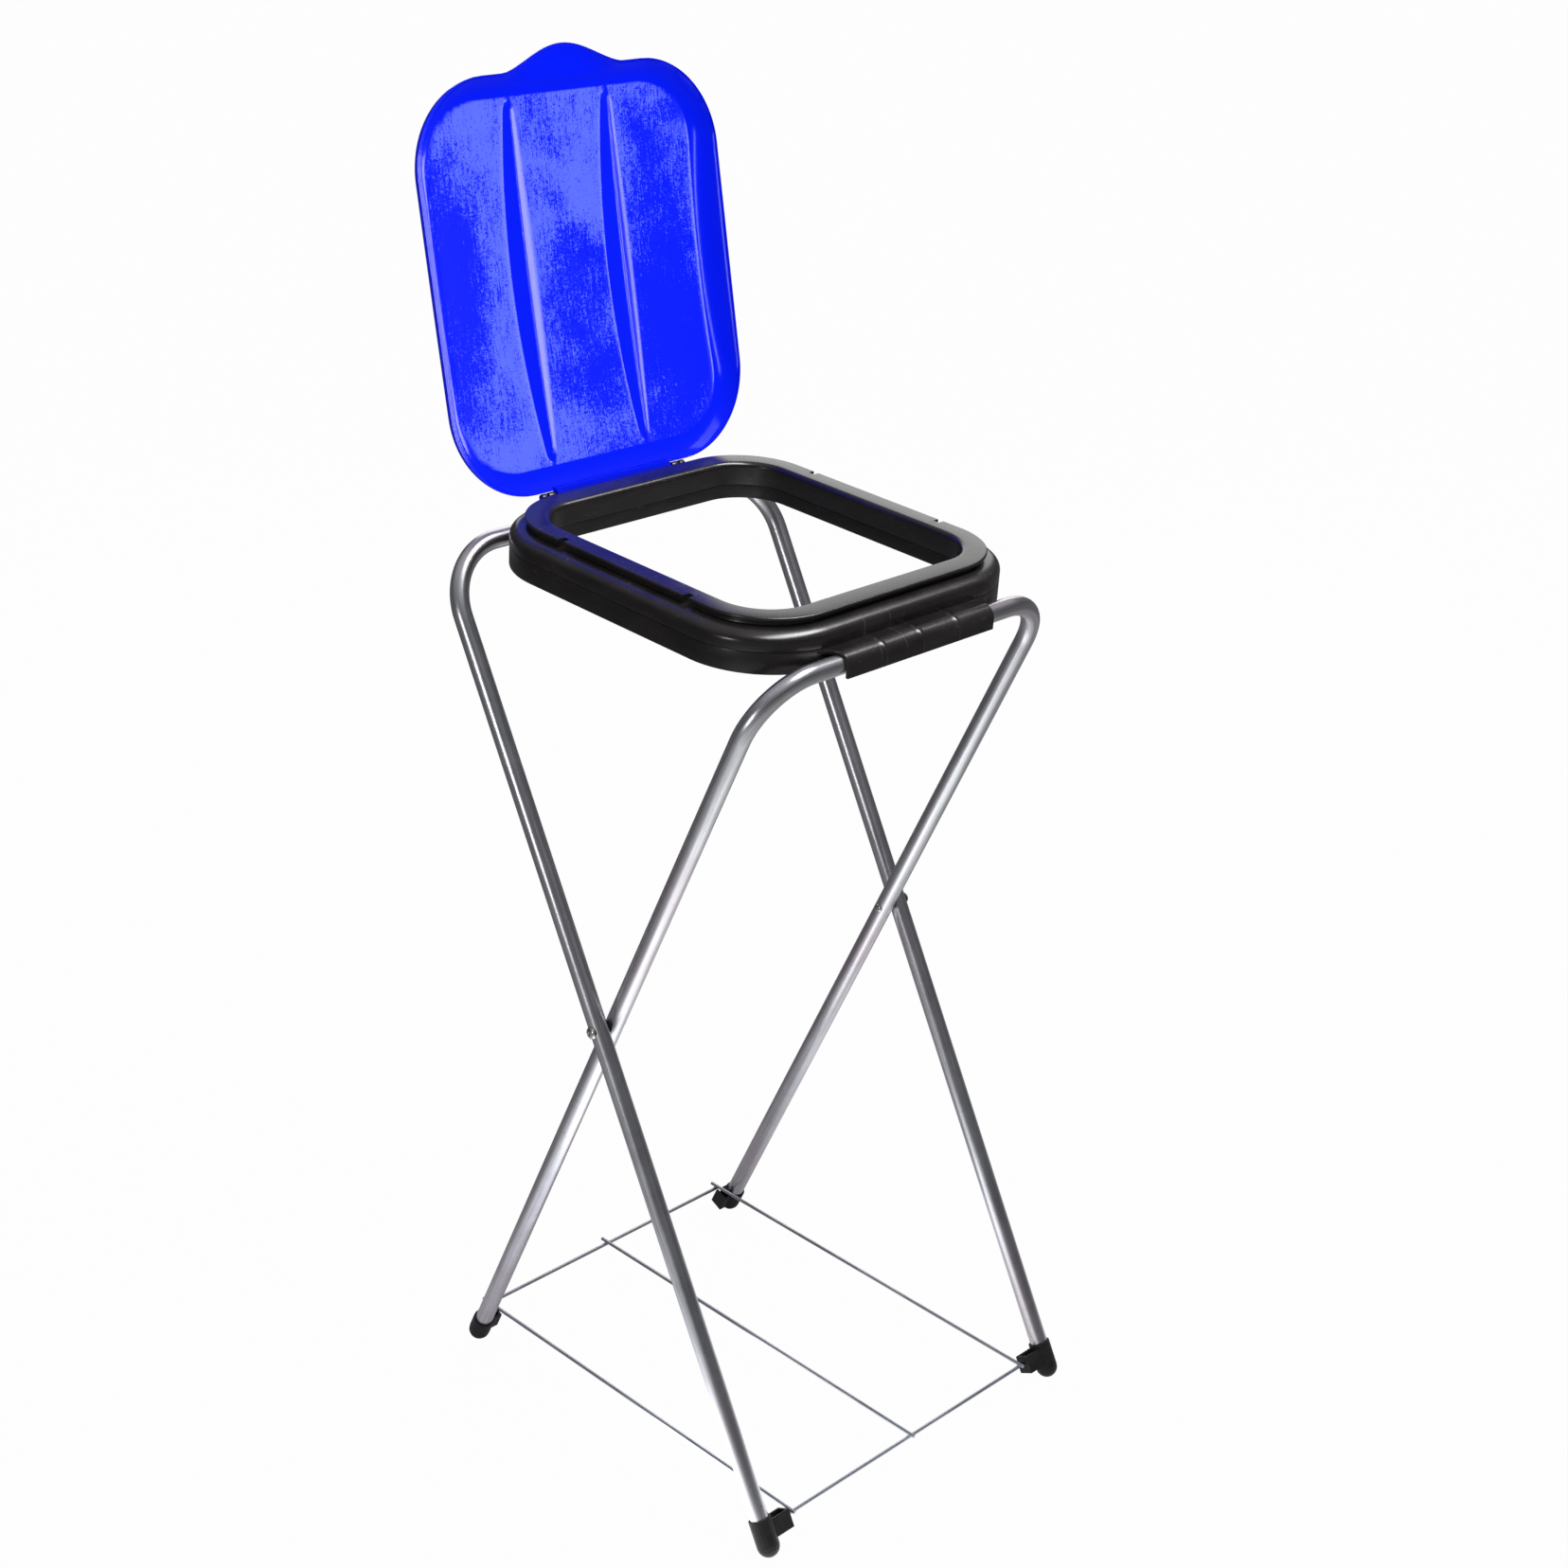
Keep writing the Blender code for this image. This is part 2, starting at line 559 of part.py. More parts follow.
def upper_section():
    """Inverted channel with a sloping shoulder, an undercut groove and a flat flange above it."""
    wall = RING_WALL
    base = LOWER_RING_HEIGHT + SEAT_GAP / 2
    high = base + LOWER_RING_STEP
    band = RING_BAND
    rim = band + RIM_DRAFT
    top = FLANGE_TOP
    under = top - FLANGE_THICKNESS
    groove = (FLANGE_INSET_SIDE + FLANGE_INSET_END) / 2 + GROOVE_DEPTH
    step = band * DECK_STEP_SHARE + LOWER_RING_STEP
    low = SHOULDER_HEIGHT
    crest = low + SHOULDER_RISE
    bend = SHOULDER_ROUND
    lip = FLANGE_ROUND
    outside = [
        (0, base), (0, low - bend), (bend / 3, low - bend / 4), (bend, low + bend / 4),
        (groove - SHOULDER_RISE * 0.75, crest - bend / 3), (groove, crest), (groove, under),
    ]
    inside = [
        (rim - lip, top), (rim - lip / 3, top - lip / 4), (rim, top - lip),
        (band, high), (band - wall, high), (rim - wall, top - wall),
        (groove + wall, top - wall), (groove + wall, crest - wall),
        (step, (low + crest) / 2 - wall), (wall * 1.4, low - wall), (wall, base),
    ]
    edge = [
        (FLANGE_INSET_SIDE, FLANGE_INSET_END, under),
        (FLANGE_INSET_SIDE, FLANGE_INSET_END, top - FLANGE_CHAMFER),
        (FLANGE_INSET_SIDE + FLANGE_CHAMFER, FLANGE_INSET_END + FLANGE_CHAMFER, top),
    ]
    return [(i, i, h) for i, h in outside] + edge + [(i, i, h) for i, h in inside]


def sleeve_mesh(end):
    """Channel over a crossbar, open below: an outer skirt and a roof that meets the ring's wall."""
    bar = RING_HALF_DEPTH + RING_BAR_GAP + TUBE_RADIUS
    inside = TUBE_RADIUS + SLEEVE_CLEARANCE
    outside = inside + SLEEVE_WALL
    centre = BAR_HEIGHT_IN_RING
    round_steps = np.linspace(0, math.pi / 2, 6)
    outer = [(bar + outside * math.sin(a), centre + outside * math.cos(a)) for a in round_steps]
    inner = [(bar + inside * math.sin(a), centre + inside * math.cos(a)) for a in round_steps]
    wall = RING_HALF_DEPTH - RING_WALL / 2
    mouth = [(bar + outside, centre - TUBE_RADIUS), (bar + inside, centre - TUBE_RADIUS)]
    outline = [(wall, centre + outside)] + outer + mouth + inner[::-1] + [(wall, centre + inside)]
    if end < 0:
        outline = [(-y, z) for y, z in outline]
    return extruded("sleeve", outline, -SLEEVE_HALF_LENGTH, SLEEVE_HALF_LENGTH, RING_PLACE)


def hinge_stack():
    """Start of each hinge part along X: knuckle, lug, ear and the end of the stub pin."""
    lug = KNUCKLE_INNER + KNUCKLE_WIDTH + HINGE_SIDE_GAP
    ear = lug + LUG_WIDTH + HINGE_SIDE_GAP
    pin_end = ear + EAR_WIDTH + SEAT_GAP
    return lug, ear, pin_end


def hinge_arm(low_x, width, foot):
    """A flat arm from a ring's wall up to a round eye on the hinge axis."""
    y, z = HINGE_IN_RING.y, HINGE_IN_RING.z
    eye = KNUCKLE_DIAMETER / 2
    (front, low), (back, high) = foot
    start = 0 if back > y else -math.pi / 2
    angles = np.arange(start, math.pi + 0.01, math.pi / 8)
    outline = [(y + eye * math.cos(a), z + eye * math.sin(a)) for a in angles]
    outline += [(front, high), (front, low), (back, low)]
    return extruded("arm", outline, low_x, low_x + width, RING_PLACE)


def both_sides(mesh):
    """The mesh and its mirror image across X."""
    other = mesh.copy()
    other.transform(Matrix.Diagonal((-1, 1, 1, 1)))
    return merged(mesh.name + "_pair", [mesh, outward(other)])


def hinge_bore(low_x, high_x):
    start = RING_PLACE @ (HINGE_IN_RING + Vector((low_x, 0, 0)))
    end = RING_PLACE @ (HINGE_IN_RING + Vector((high_x, 0, 0)))
    return rod("bore", start, end, HINGE_PIN_DIAMETER / 2 + PIN_CLEARANCE, HINGE_SIDES)


def make_base_frame(ring_axis, black):
    """Lower ring with a sleeve over each crossbar, a relief behind the front bar and hinge lugs."""
    frame = add_object("base_frame", ring_mesh("base_frame", lower_section()), black, ring_axis)
    bend_start = INNER_HALF_WIDTH - INNER_BEND_RADIUS
    bar = RING_HALF_DEPTH + RING_BAR_GAP + TUBE_RADIUS
    relief_top = BAR_HEIGHT_IN_RING + RELIEF_OVER_BAR
    relief = box("relief", (-bend_start, -bar, -RING_WALL),
                 (bend_start, -RING_HALF_DEPTH + RING_WALL * 4, relief_top), RING_PLACE)
    combine(frame, relief, "DIFFERENCE")
    combine(frame, sleeve_mesh(-1), "UNION")
    combine(frame, sleeve_mesh(1), "UNION")
    lug, _, _ = hinge_stack()
    eye = KNUCKLE_DIAMETER / 2
    front = RING_HALF_DEPTH + SEAT_GAP
    low = BAR_HEIGHT_IN_RING + TUBE_RADIUS + SLEEVE_CLEARANCE + SLEEVE_WALL / 2
    arm = hinge_arm(lug, LUG_WIDTH, ((front, low), (HINGE_IN_RING.y + eye, HINGE_IN_RING.z)))
    combine(frame, both_sides(arm), "UNION")
    combine(frame, both_sides(hinge_bore(lug - HINGE_SIDE_GAP / 2, lug + LUG_WIDTH + HINGE_SIDE_GAP / 2)),
            "DIFFERENCE")


def make_clamp_ring(clamp_axis, black):
    """Upper ring with notches in its flange and two hinge ears at the back."""
    ring = add_object("clamp_ring", ring_mesh("clamp_ring", upper_section()), black, clamp_axis)
    notches = []
    for side in (-1, 1):
        for end in (-1, 1):
            inner = RING_HALF_WIDTH - FLANGE_INSET_SIDE - NOTCH_DEPTH
            x = sorted((side * inner, side * RING_HALF_WIDTH))
            y = end * NOTCH_SPACING
            low = FLANGE_TOP - FLANGE_THICKNESS - 0.0005
            notches.append(box("notch", (x[0], y - NOTCH_WIDTH / 2, low),
                               (x[1], y + NOTCH_WIDTH / 2, FLANGE_TOP + FLANGE_THICKNESS), RING_PLACE))
    combine(ring, merged("notches", notches), "DIFFERENCE")
    _, ear, _ = hinge_stack()
    foot = ((RING_HALF_DEPTH - RING_WALL / 2, LOWER_RING_HEIGHT + LOWER_RING_STEP),
            (RING_HALF_DEPTH + SEAT_GAP, SHOULDER_HEIGHT - SEAT_GAP))
    combine(ring, both_sides(hinge_arm(ear, EAR_WIDTH, foot)), "UNION")
    combine(ring, both_sides(hinge_bore(ear - HINGE_SIDE_GAP / 2, ear + EAR_WIDTH + HINGE_SIDE_GAP)),
            "DIFFERENCE")


def lid_half_width(s):
    """Half the lid's width at a distance s from the hinge: straight sides, quarter-circle corners."""
    corner = LID_CORNER_RADIUS
    near = np.clip(corner - s, 0, corner)
    far = np.clip(s - (LID_LENGTH - corner), 0, corner)
    short = np.maximum(near, far)
    return LID_HALF_WIDTH - corner + np.sqrt(np.maximum(corner**2 - short**2, 0))


def lid_inset(x, s):
    """Distance of a point inside the lid's outline."""
    corner = LID_CORNER_RADIUS
    dx = np.abs(x) - (LID_HALF_WIDTH - corner)
    ds = np.abs(s - LID_LENGTH / 2) - (LID_LENGTH / 2 - corner)
    outside = np.hypot(np.maximum(dx, 0), np.maximum(ds, 0)) + np.minimum(np.maximum(dx, ds), 0)
    return np.maximum(corner - outside, 0)


def lid_height(x, s):
    """How far the inner face lies behind the rim plane: rim curve, shallow dome and two ribs.

    The rim rises as a quarter sine over its band, raised to a power that makes it fuller. The dome is
    a parabola along the lid. Each rib is a raised cosine that stands into the lid, highest at mid length.
    """
    band = np.clip(lid_inset(x, s) / LID_RIM_BAND, 0, 1)
    rim = LID_RIM_DEPTH * np.sin(band * math.pi / 2) ** LID_RIM_FULLNESS
    along = 2 * s / LID_LENGTH - 1
    dome = LID_DOME * (1 - along**2) * band
    middle = np.clip((s - LID_RIB_START) / (LID_RIB_END - LID_RIB_START), 0, 1)
    swell = np.sin(middle * math.pi)
    offset = np.abs(np.abs(x) - LID_RIB_SPACING) / LID_RIB_HALF_WIDTH
    rib = LID_RIB_HEIGHT * swell * np.where(offset < 1, 0.5 + 0.5 * np.cos(offset * math.pi), 0)
    return rim + dome - rib


def lid_grid():
    """Rows along s and columns across x that follow the outline and crowd at the rim and ribs."""
    corner = LID_CORNER_RADIUS
    band = LID_RIM_BAND
    edge = np.array(RIM_SHARES) * band
    arc = np.linspace(band, corner, 5)[1:]
    start = np.concatenate([edge, arc])
    middle = np.linspace(corner, LID_LENGTH - corner, 7)[1:-1]
    s_rows = np.concatenate([start, middle, LID_LENGTH - start[::-1]])
    rib = LID_RIB_SPACING + LID_RIB_HALF_WIDTH * np.array(RIB_SHARES)
    inner = np.concatenate([rib, [LID_RIB_SPACING * 0.4, 0.0]])
    half = lid_half_width(s_rows)[:, None]
    outer = half - edge[None, :]
    fixed = np.broadcast_to(inner, (len(s_rows), len(inner)))
    right = np.concatenate([outer, fixed], axis=1)
    x = np.concatenate([right, -right[:, -2::-1]], axis=1)
    s = np.broadcast_to(s_rows[:, None], x.shape)
    return x, s


def make_lid(lid_axis, blue):
    """Domed shell with its tab drawn into the front rows, plus knuckles with stub pins."""
    x, s = lid_grid()
    height = lid_height(x, s)
    band = LID_RIM_BAND
    front_pull = np.clip(1 - (LID_LENGTH - s) / (band * TAB_BAND_SHARE), 0, 1) ** 1.5
    bell = np.where(np.abs(x) < TAB_HALF_WIDTH, 0.5 + 0.5 * np.cos(x / TAB_HALF_WIDTH * math.pi), 0)
    moved = LID_EDGE_RISE + s + TAB_HEIGHT * bell * front_pull
    along = Vector((0, math.sin(LID_OPEN_LEAN), math.cos(LID_OPEN_LEAN)))
    behind = Vector((0, math.cos(LID_OPEN_LEAN), -math.sin(LID_OPEN_LEAN)))
    origin = np.array(HINGE)

    def sheet(offset):
        points = np.stack([x, np.zeros_like(x), np.zeros_like(x)], axis=-1)
        points = points + moved[..., None] * np.array(along)
        return origin + points + (height + offset)[..., None] * np.array(behind)

    inner = sheet(0.0)
    outer = sheet(LID_WALL)
    rows, columns = x.shape
    index = np.arange(rows * columns).reshape(rows, columns)
    quads = np.stack([index[:-1, :-1], index[:-1, 1:], index[1:, 1:], index[1:, :-1]], axis=-1)
    quads = quads.reshape(-1, 4)
    rim = np.concatenate([index[0], index[1:, -1], index[-1, -2::-1], index[-2:0:-1, 0]])
    shift = rows * columns
    walls = np.stack([rim, np.roll(rim, -1), np.roll(rim, -1) + shift, rim + shift], axis=1)
    faces = quads.tolist() + (quads[:, ::-1] + shift).tolist() + walls.tolist()
    points = np.concatenate([inner.reshape(-1, 3), outer.reshape(-1, 3)])
    mesh = bpy.data.meshes.new("lid")
    mesh.from_pydata(points.tolist(), [], faces)
    lid = add_object("lid", outward(mesh), blue, lid_axis)
    _, _, pin_end = hinge_stack()
    across = Vector((1, 0, 0))
    profile = [(0, 0), (KNUCKLE_DIAMETER / 2, 0), (KNUCKLE_DIAMETER / 2, KNUCKLE_WIDTH),
               (HINGE_PIN_DIAMETER / 2, KNUCKLE_WIDTH),
               (HINGE_PIN_DIAMETER / 2, pin_end - KNUCKLE_INNER), (0, pin_end - KNUCKLE_INNER)]
    knuckle = turned("knuckle", profile, HINGE + across * KNUCKLE_INNER, across, HINGE_SIDES)
    combine(lid, both_sides(knuckle), "UNION")
    eye = KNUCKLE_DIAMETER / 2
    place = Matrix.Translation(HINGE) @ Matrix((across, behind, along)).transposed().to_4x4()
    neck = box("neck", (KNUCKLE_INNER, -eye / 2, 0),
               (KNUCKLE_INNER + KNUCKLE_WIDTH, eye * 0.9, LID_EDGE_RISE + LID_WALL), place)
    combine(lid, both_sides(neck), "UNION")


def centre_on_floor(stand):
    """Moves the whole stand so that its footprint box is centred on X = Y = 0."""
    bpy.context.view_layer.update()
    shown = [item for item in bpy.data.objects if item.type == "MESH" and not item.hide_render]
    ys = [(item.matrix_world @ vertex.co).y for item in shown for vertex in item.data.vertices]
    stand.location.y = -(min(ys) + max(ys)) / 2


def main():
    clear_scene()
    zinc = plastic_or_metal("zinc_plated_tube", (0.55, 0.57, 0.62), 0.28, 1.0)
    wire = plastic_or_metal("zinc_plated_wire", (0.52, 0.54, 0.60), 0.25, 1.0)
    nickel = plastic_or_metal("rivet_nickel", (0.66, 0.64, 0.60), 0.22, 1.0)
    washer = plastic_or_metal("washer_steel", (0.10, 0.10, 0.11), 0.45, 1.0)
    rubber = plastic_or_metal("foot_black", (0.012, 0.012, 0.014), 0.6)
    black = plastic_or_metal("ring_black", (0.014, 0.012, 0.012), 0.35)
    blue = plastic_or_metal("lid_blue", (0.0, 0.01, 0.86), 0.3)
    stand = axis_empty("stand", (0, 0, 0))
    fold_axis = axis_empty("fold_axis", PIVOT, stand)
    _, front_wire = front_wire_place()
    grid_axis = axis_empty("grid_axis", front_wire, stand)
    ring_axis = axis_empty("ring_axis", BACK_BAR, stand)
    clamp_axis = axis_empty("clamp_axis", HINGE, ring_axis)
    lid_axis = axis_empty("lid_axis", HINGE, clamp_axis)
    make_frames(stand, fold_axis, zinc)
    make_pivots(stand, nickel, washer)
    make_feet(stand, fold_axis, rubber)
    make_wire_shelf(grid_axis, wire)
    make_base_frame(ring_axis, black)
    make_clamp_ring(clamp_axis, black)
    make_lid(lid_axis, blue)
    centre_on_floor(stand)


main()
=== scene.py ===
"""Studio picture of a folding bag stand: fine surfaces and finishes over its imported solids.

All sizes are in metres in the stand's own frame, with +Z up and the front towards -Y.
"""
import math

import bmesh
import bpy
import numpy as np
from mathutils import Matrix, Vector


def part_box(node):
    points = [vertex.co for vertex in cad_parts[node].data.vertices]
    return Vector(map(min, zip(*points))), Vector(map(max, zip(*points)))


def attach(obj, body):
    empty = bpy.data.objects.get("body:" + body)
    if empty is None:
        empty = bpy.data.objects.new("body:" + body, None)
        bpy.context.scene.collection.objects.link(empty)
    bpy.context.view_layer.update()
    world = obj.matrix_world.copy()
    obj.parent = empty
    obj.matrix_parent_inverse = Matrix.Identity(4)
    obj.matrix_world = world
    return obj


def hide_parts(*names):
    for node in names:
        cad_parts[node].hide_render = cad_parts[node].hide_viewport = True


# Tube frames
TUBE_RADIUS = 0.008
OUTER_HALF_WIDTH = 0.180
INNER_HALF_WIDTH = 0.1626
OUTER_LEAN = math.radians(27.0)
INNER_LEAN = math.radians(26.31)
OUTER_UPPER_LENGTH = 0.4115
INNER_UPPER_LENGTH = 0.3829
OUTER_BEND_RADIUS = 0.055
INNER_BEND_RADIUS = 0.053
DENT_LENGTH = 0.020
DENT_DEPTH = 0.0006
TUBE_END_HEIGHT = 0.010
TUBE_SIDES = 48

# Rivets
RIVET_HEAD_RADIUS = 0.00525
RIVET_HEAD_HEIGHT = 0.0028
RIVET_TAIL_RADIUS = 0.00425
RIVET_TAIL_HEIGHT = 0.0018
RIVET_SHANK_RADIUS = 0.0025
DIMPLE_RADIUS = 0.0019

# Rings, heights measured from the underside of the lower ring
RING_HALF_WIDTH = 0.1574
RING_CORNER_RADIUS = 0.075
RING_BAR_GAP = 0.0013
BAR_HEIGHT_IN_RING = 0.0055
RING_WALL = 0.0025
LOWER_RING_HEIGHT = 0.0177
RING_STEP = 0.0024
STEP_SHARE = 0.45
RING_SEAM = 0.0003
INNER_SKIRT_HEIGHT = 0.0078
RING_BAND = 0.0310
SHOULDER_HEIGHT = 0.0288
SHOULDER_RISE = 0.0048
SHOULDER_ROUND = 0.0052
SHOULDER_POWER = 0.85
SHOULDER_MARKS = (-0.046, -0.018)
GROOVE_BEHIND_FLANGE = 0.0045
LIP_ROUND = 0.0042
FLANGE_TOP = 0.0411
FLANGE_THICKNESS = 0.0026
FLANGE_INSET_SIDE = 0.0133
FLANGE_INSET_END = 0.0107
FLANGE_EDGE_ROUND = 0.0008
RIM_DRAFT = 0.0020
NOTCH_SPACING = 0.073
NOTCH_WIDTH = 0.0060
NOTCH_DEPTH = 0.0065
SLEEVE_HALF_LENGTH = 0.083
SLEEVE_WALL = 0.0025
SLEEVE_CLEARANCE = 0.0004
WITNESS_HALF_WIDTH = 0.0006
WITNESS_HEIGHT = 0.00025
FLARE_START = 0.070
FLARE_LENGTH = 0.013

# Hinge
HINGE_BEHIND_RING = 0.0047
HINGE_HEIGHT = 0.0330
PIN_RADIUS = 0.0015
EYE_RADIUS = 0.0034
KNUCKLE_START = 0.058
KNUCKLE_END = 0.064
LUG_START = 0.066
LUG_END = 0.073
EAR_START = 0.075
EAR_END = 0.080

# Lid
LID_OPEN_LEAN = math.radians(9.45)
LID_HALF_WIDTH = 0.1607
LID_CORNER_RADIUS = 0.0764
LID_WALL = 0.0025
LID_FRONT_GAP = 0.0010
LID_EDGE_RISE = 0.0038
LID_RIM_DEPTH = 0.0104
LID_RIM_FULLNESS = 0.6
LID_RIM_BAND = 0.0195
LID_DOME = 0.0090
RIB_SPACING = 0.052
RIB_HALF_WIDTH = 0.0150
RIB_HEIGHT = 0.0050
RIB_START = 0.017
RIB_END = 0.322
TAB_HALF_WIDTH = 0.064
TAB_HEIGHT = 0.019

# Wires
WIRE_RADIUS = 0.0016
WIRE_END_ROUND = 0.0005
WELD_SIZE = (0.0015, 0.0015, 0.0014)

# Patches on the lid: across, along from the hinge edge, half width, half length, softness
GATE = (0.0, 0.121, 0.0052, 0.0052, 0.12)
DARK_MARK = (0.002, 0.172, 0.012, 0.010, 0.3)
FAINT_MARK = (-0.004, 0.2325, 0.008, 0.008, 0.3)
# Patches of painted shade: they take the painted sheen off the panels and leave them deep blue.
PAINTED_SHADE_PATCHES = (
    (1.00, (-0.132, 0.175, 0.030, 0.075, 0.6)),
    (0.75, (0.108, 0.130, 0.052, 0.150, 0.6)),
    (0.60, (0.022, 0.070, 0.034, 0.070, 0.9)),
    (0.50, (0.020, 0.180, 0.030, 0.022, 0.8)),
)

# Camera: its place is measured from the rivets in Y, and its angles point back from the stand
CAMERA_X = -1.3833
CAMERA_FROM_PIVOT = -1.4140
CAMERA_HEIGHT = 1.4306
CAMERA_LENS = 58.55
CAMERA_HEADING = math.radians(-135.00617)
CAMERA_PITCH = math.radians(23.19365)
CAMERA_ROLL = math.radians(0.89951)
FLOOR_HALF_SIZE = 40.0


def in_middle(y, z):
    """A point or direction in the plane X = 0."""
    return np.array([0.0, y, z])


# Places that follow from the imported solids
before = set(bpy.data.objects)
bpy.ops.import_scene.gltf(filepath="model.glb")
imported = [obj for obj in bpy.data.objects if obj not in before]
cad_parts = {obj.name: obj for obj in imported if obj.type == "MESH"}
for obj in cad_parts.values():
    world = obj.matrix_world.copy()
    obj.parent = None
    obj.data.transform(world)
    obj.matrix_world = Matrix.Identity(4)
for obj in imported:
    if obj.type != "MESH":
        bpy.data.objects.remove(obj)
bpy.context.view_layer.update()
rivet_low, rivet_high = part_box("pivot_rivet_left")
PIVOT = in_middle((rivet_low.y + rivet_high.y) / 2, (rivet_low.z + rivet_high.z) / 2)
OUTER_UP = in_middle(math.sin(OUTER_LEAN), math.cos(OUTER_LEAN))
INNER_UP = in_middle(-math.sin(INNER_LEAN), math.cos(INNER_LEAN))
BACK_BAR = PIVOT + OUTER_UP * OUTER_UPPER_LENGTH
FRONT_BAR = PIVOT + INNER_UP * INNER_UPPER_LENGTH
BAR_SPAN = BACK_BAR - FRONT_BAR
RING_HALF_DEPTH = np.linalg.norm(BAR_SPAN) / 2 - TUBE_RADIUS - RING_BAR_GAP
RING_BACKWARD = BAR_SPAN / np.linalg.norm(BAR_SPAN)
RING_UPWARD = in_middle(-RING_BACKWARD[2], RING_BACKWARD[1])
RING_ORIGIN = (BACK_BAR + FRONT_BAR) / 2 - RING_UPWARD * BAR_HEIGHT_IN_RING
HINGE_Y = RING_HALF_DEPTH + HINGE_BEHIND_RING
HINGE = RING_ORIGIN + RING_BACKWARD * HINGE_Y + RING_UPWARD * HINGE_HEIGHT
LID_LENGTH = HINGE_Y + RING_HALF_DEPTH - LID_FRONT_GAP - LID_EDGE_RISE
LID_ALONG = in_middle(math.sin(LID_OPEN_LEAN), math.cos(LID_OPEN_LEAN))
LID_BEHIND = in_middle(math.cos(LID_OPEN_LEAN), -math.sin(LID_OPEN_LEAN))


def in_ring(x, y, z):
    """Points of the ring's own space put on the tilted plane of the rings."""
    x, y, z = np.broadcast_arrays(x, y, z)
    across = np.stack([x, np.zeros_like(x), np.zeros_like(x)], axis=-1)
    return RING_ORIGIN + across + y[..., None] * RING_BACKWARD + z[..., None] * RING_UPWARD


def smooth_step(value):
    """3 t squared - 2 t cubed, with t kept between 0 and 1."""
    value = np.clip(value, 0, 1)
    return value * value * (3 - 2 * value)


# Meshes
def lengths(points):
    """Running distance along the rows of points, starting at zero."""
    steps = np.linalg.norm(np.diff(points, axis=0), axis=-1)
    return np.concatenate([[0.0], np.cumsum(steps)])


def surface(points, wrap_rows=False, wrap_columns=False, ends=False, measure=None):
    """A mesh over a (rows, columns, 3) array, with a UV map that holds metres along and around.

    The rows or columns may close on themselves, and ends puts a flat face on the first and last row.
    """
    rows, columns = points.shape[:2]
    i = np.arange(rows if wrap_rows else rows - 1)[:, None]
    j = np.arange(columns if wrap_columns else columns - 1)[None, :]
    i, j = np.broadcast_arrays(i, j)
    below, above = i * columns, (i + 1) % rows * columns
    right = (j + 1) % columns
    quads = np.stack([below + j, below + right, above + right, above + j], axis=-1).reshape(-1, 4)
    if measure is None:
        closed_rows = np.concatenate([points[:, :1], points[:1, :1]])[:, 0]
        closed_columns = np.concatenate([points[:1], points[:1, :1]], axis=1)[0]
        along, around = lengths(closed_rows), lengths(closed_columns)
        corners = [(along[i], around[j]), (along[i], around[j + 1]),
                   (along[i + 1], around[j + 1]), (along[i + 1], around[j])]
    else:
        flat = measure.reshape(-1, 2)
        corners = [(flat[quads[:, k], 0], flat[quads[:, k], 1]) for k in range(4)]
    uv = np.stack([np.stack([u.ravel(), v.ravel()], axis=-1) for u, v in corners], axis=1)
    faces = quads.tolist()
    flat_uv = [uv.reshape(-1, 2)]
    if ends:
        faces += [list(range(columns))[::-1], list(range((rows - 1) * columns, rows * columns))]
        flat_uv.append(np.zeros((2 * columns, 2)))
    mesh = bpy.data.meshes.new("surface")
    mesh.from_pydata(points.reshape(-1, 3).tolist(), [], faces)
    layer = mesh.uv_layers.new(name="metres")
    layer.uv.foreach_set("vector", np.concatenate(flat_uv).astype(np.float32).ravel())
    return mesh


def piece(name, meshes, finish, body, node, smooth_below=40.0):
    """One object from closed surfaces, welded and facing outwards, riding on a body for a node.
    """
    work = bmesh.new()
    for mesh in meshes:
        work.from_mesh(mesh)
        bpy.data.meshes.remove(mesh)
    bmesh.ops.remove_doubles(work, verts=work.verts, dist=1e-7)
    bmesh.ops.dissolve_degenerate(work, edges=work.edges, dist=1e-8)
    bmesh.ops.recalc_face_normals(work, faces=work.faces)
    mesh = bpy.data.meshes.new(name)
    work.to_mesh(mesh)
    work.free()
    mesh.materials.append(finish)
    mesh.shade_smooth()
    mesh.set_sharp_from_angle(angle=math.radians(smooth_below))
    item = bpy.data.objects.new(name, mesh)
    bpy.context.scene.collection.objects.link(item)
    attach(item, body)
    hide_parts(node)
    return item


def spun(profile, base, direction, sides=48):
    """A (radius, height) profile turned about an axis: base + height * axis + radius * spoke."""
    profile = np.asarray(profile, float)
    direction = np.asarray(direction, float)
    helper = np.array([1.0, 0, 0]) if abs(direction[0]) < 0.5 else np.array([0, 0, 1.0])
    first = np.cross(direction, helper)
    first /= np.linalg.norm(first)
    second = np.cross(direction, first)
    angles = np.arange(sides) * math.tau / sides
    spokes = np.cos(angles)[:, None] * first + np.sin(angles)[:, None] * second
    points = base + profile[:, None, 1:] * direction + profile[:, None, :1] * spokes[None]
    return surface(points, wrap_columns=True)


def softened(section, radius=0.0006):
    """A closed section with each corner cut back by the radius and given one point on the curve."""
    section = np.asarray(section, float)
    before, after = np.roll(section, 1, axis=0), np.roll(section, -1, axis=0)

    def toward(other):
        run = other - section
        size = np.linalg.norm(run, axis=1, keepdims=True)
        return section + run * np.minimum(radius / size, 0.4)

    first, last = toward(before), toward(after)
    middle = (first + last) / 4 + section / 2
    return np.stack([first, middle, last], axis=1).reshape(-1, section.shape[1])


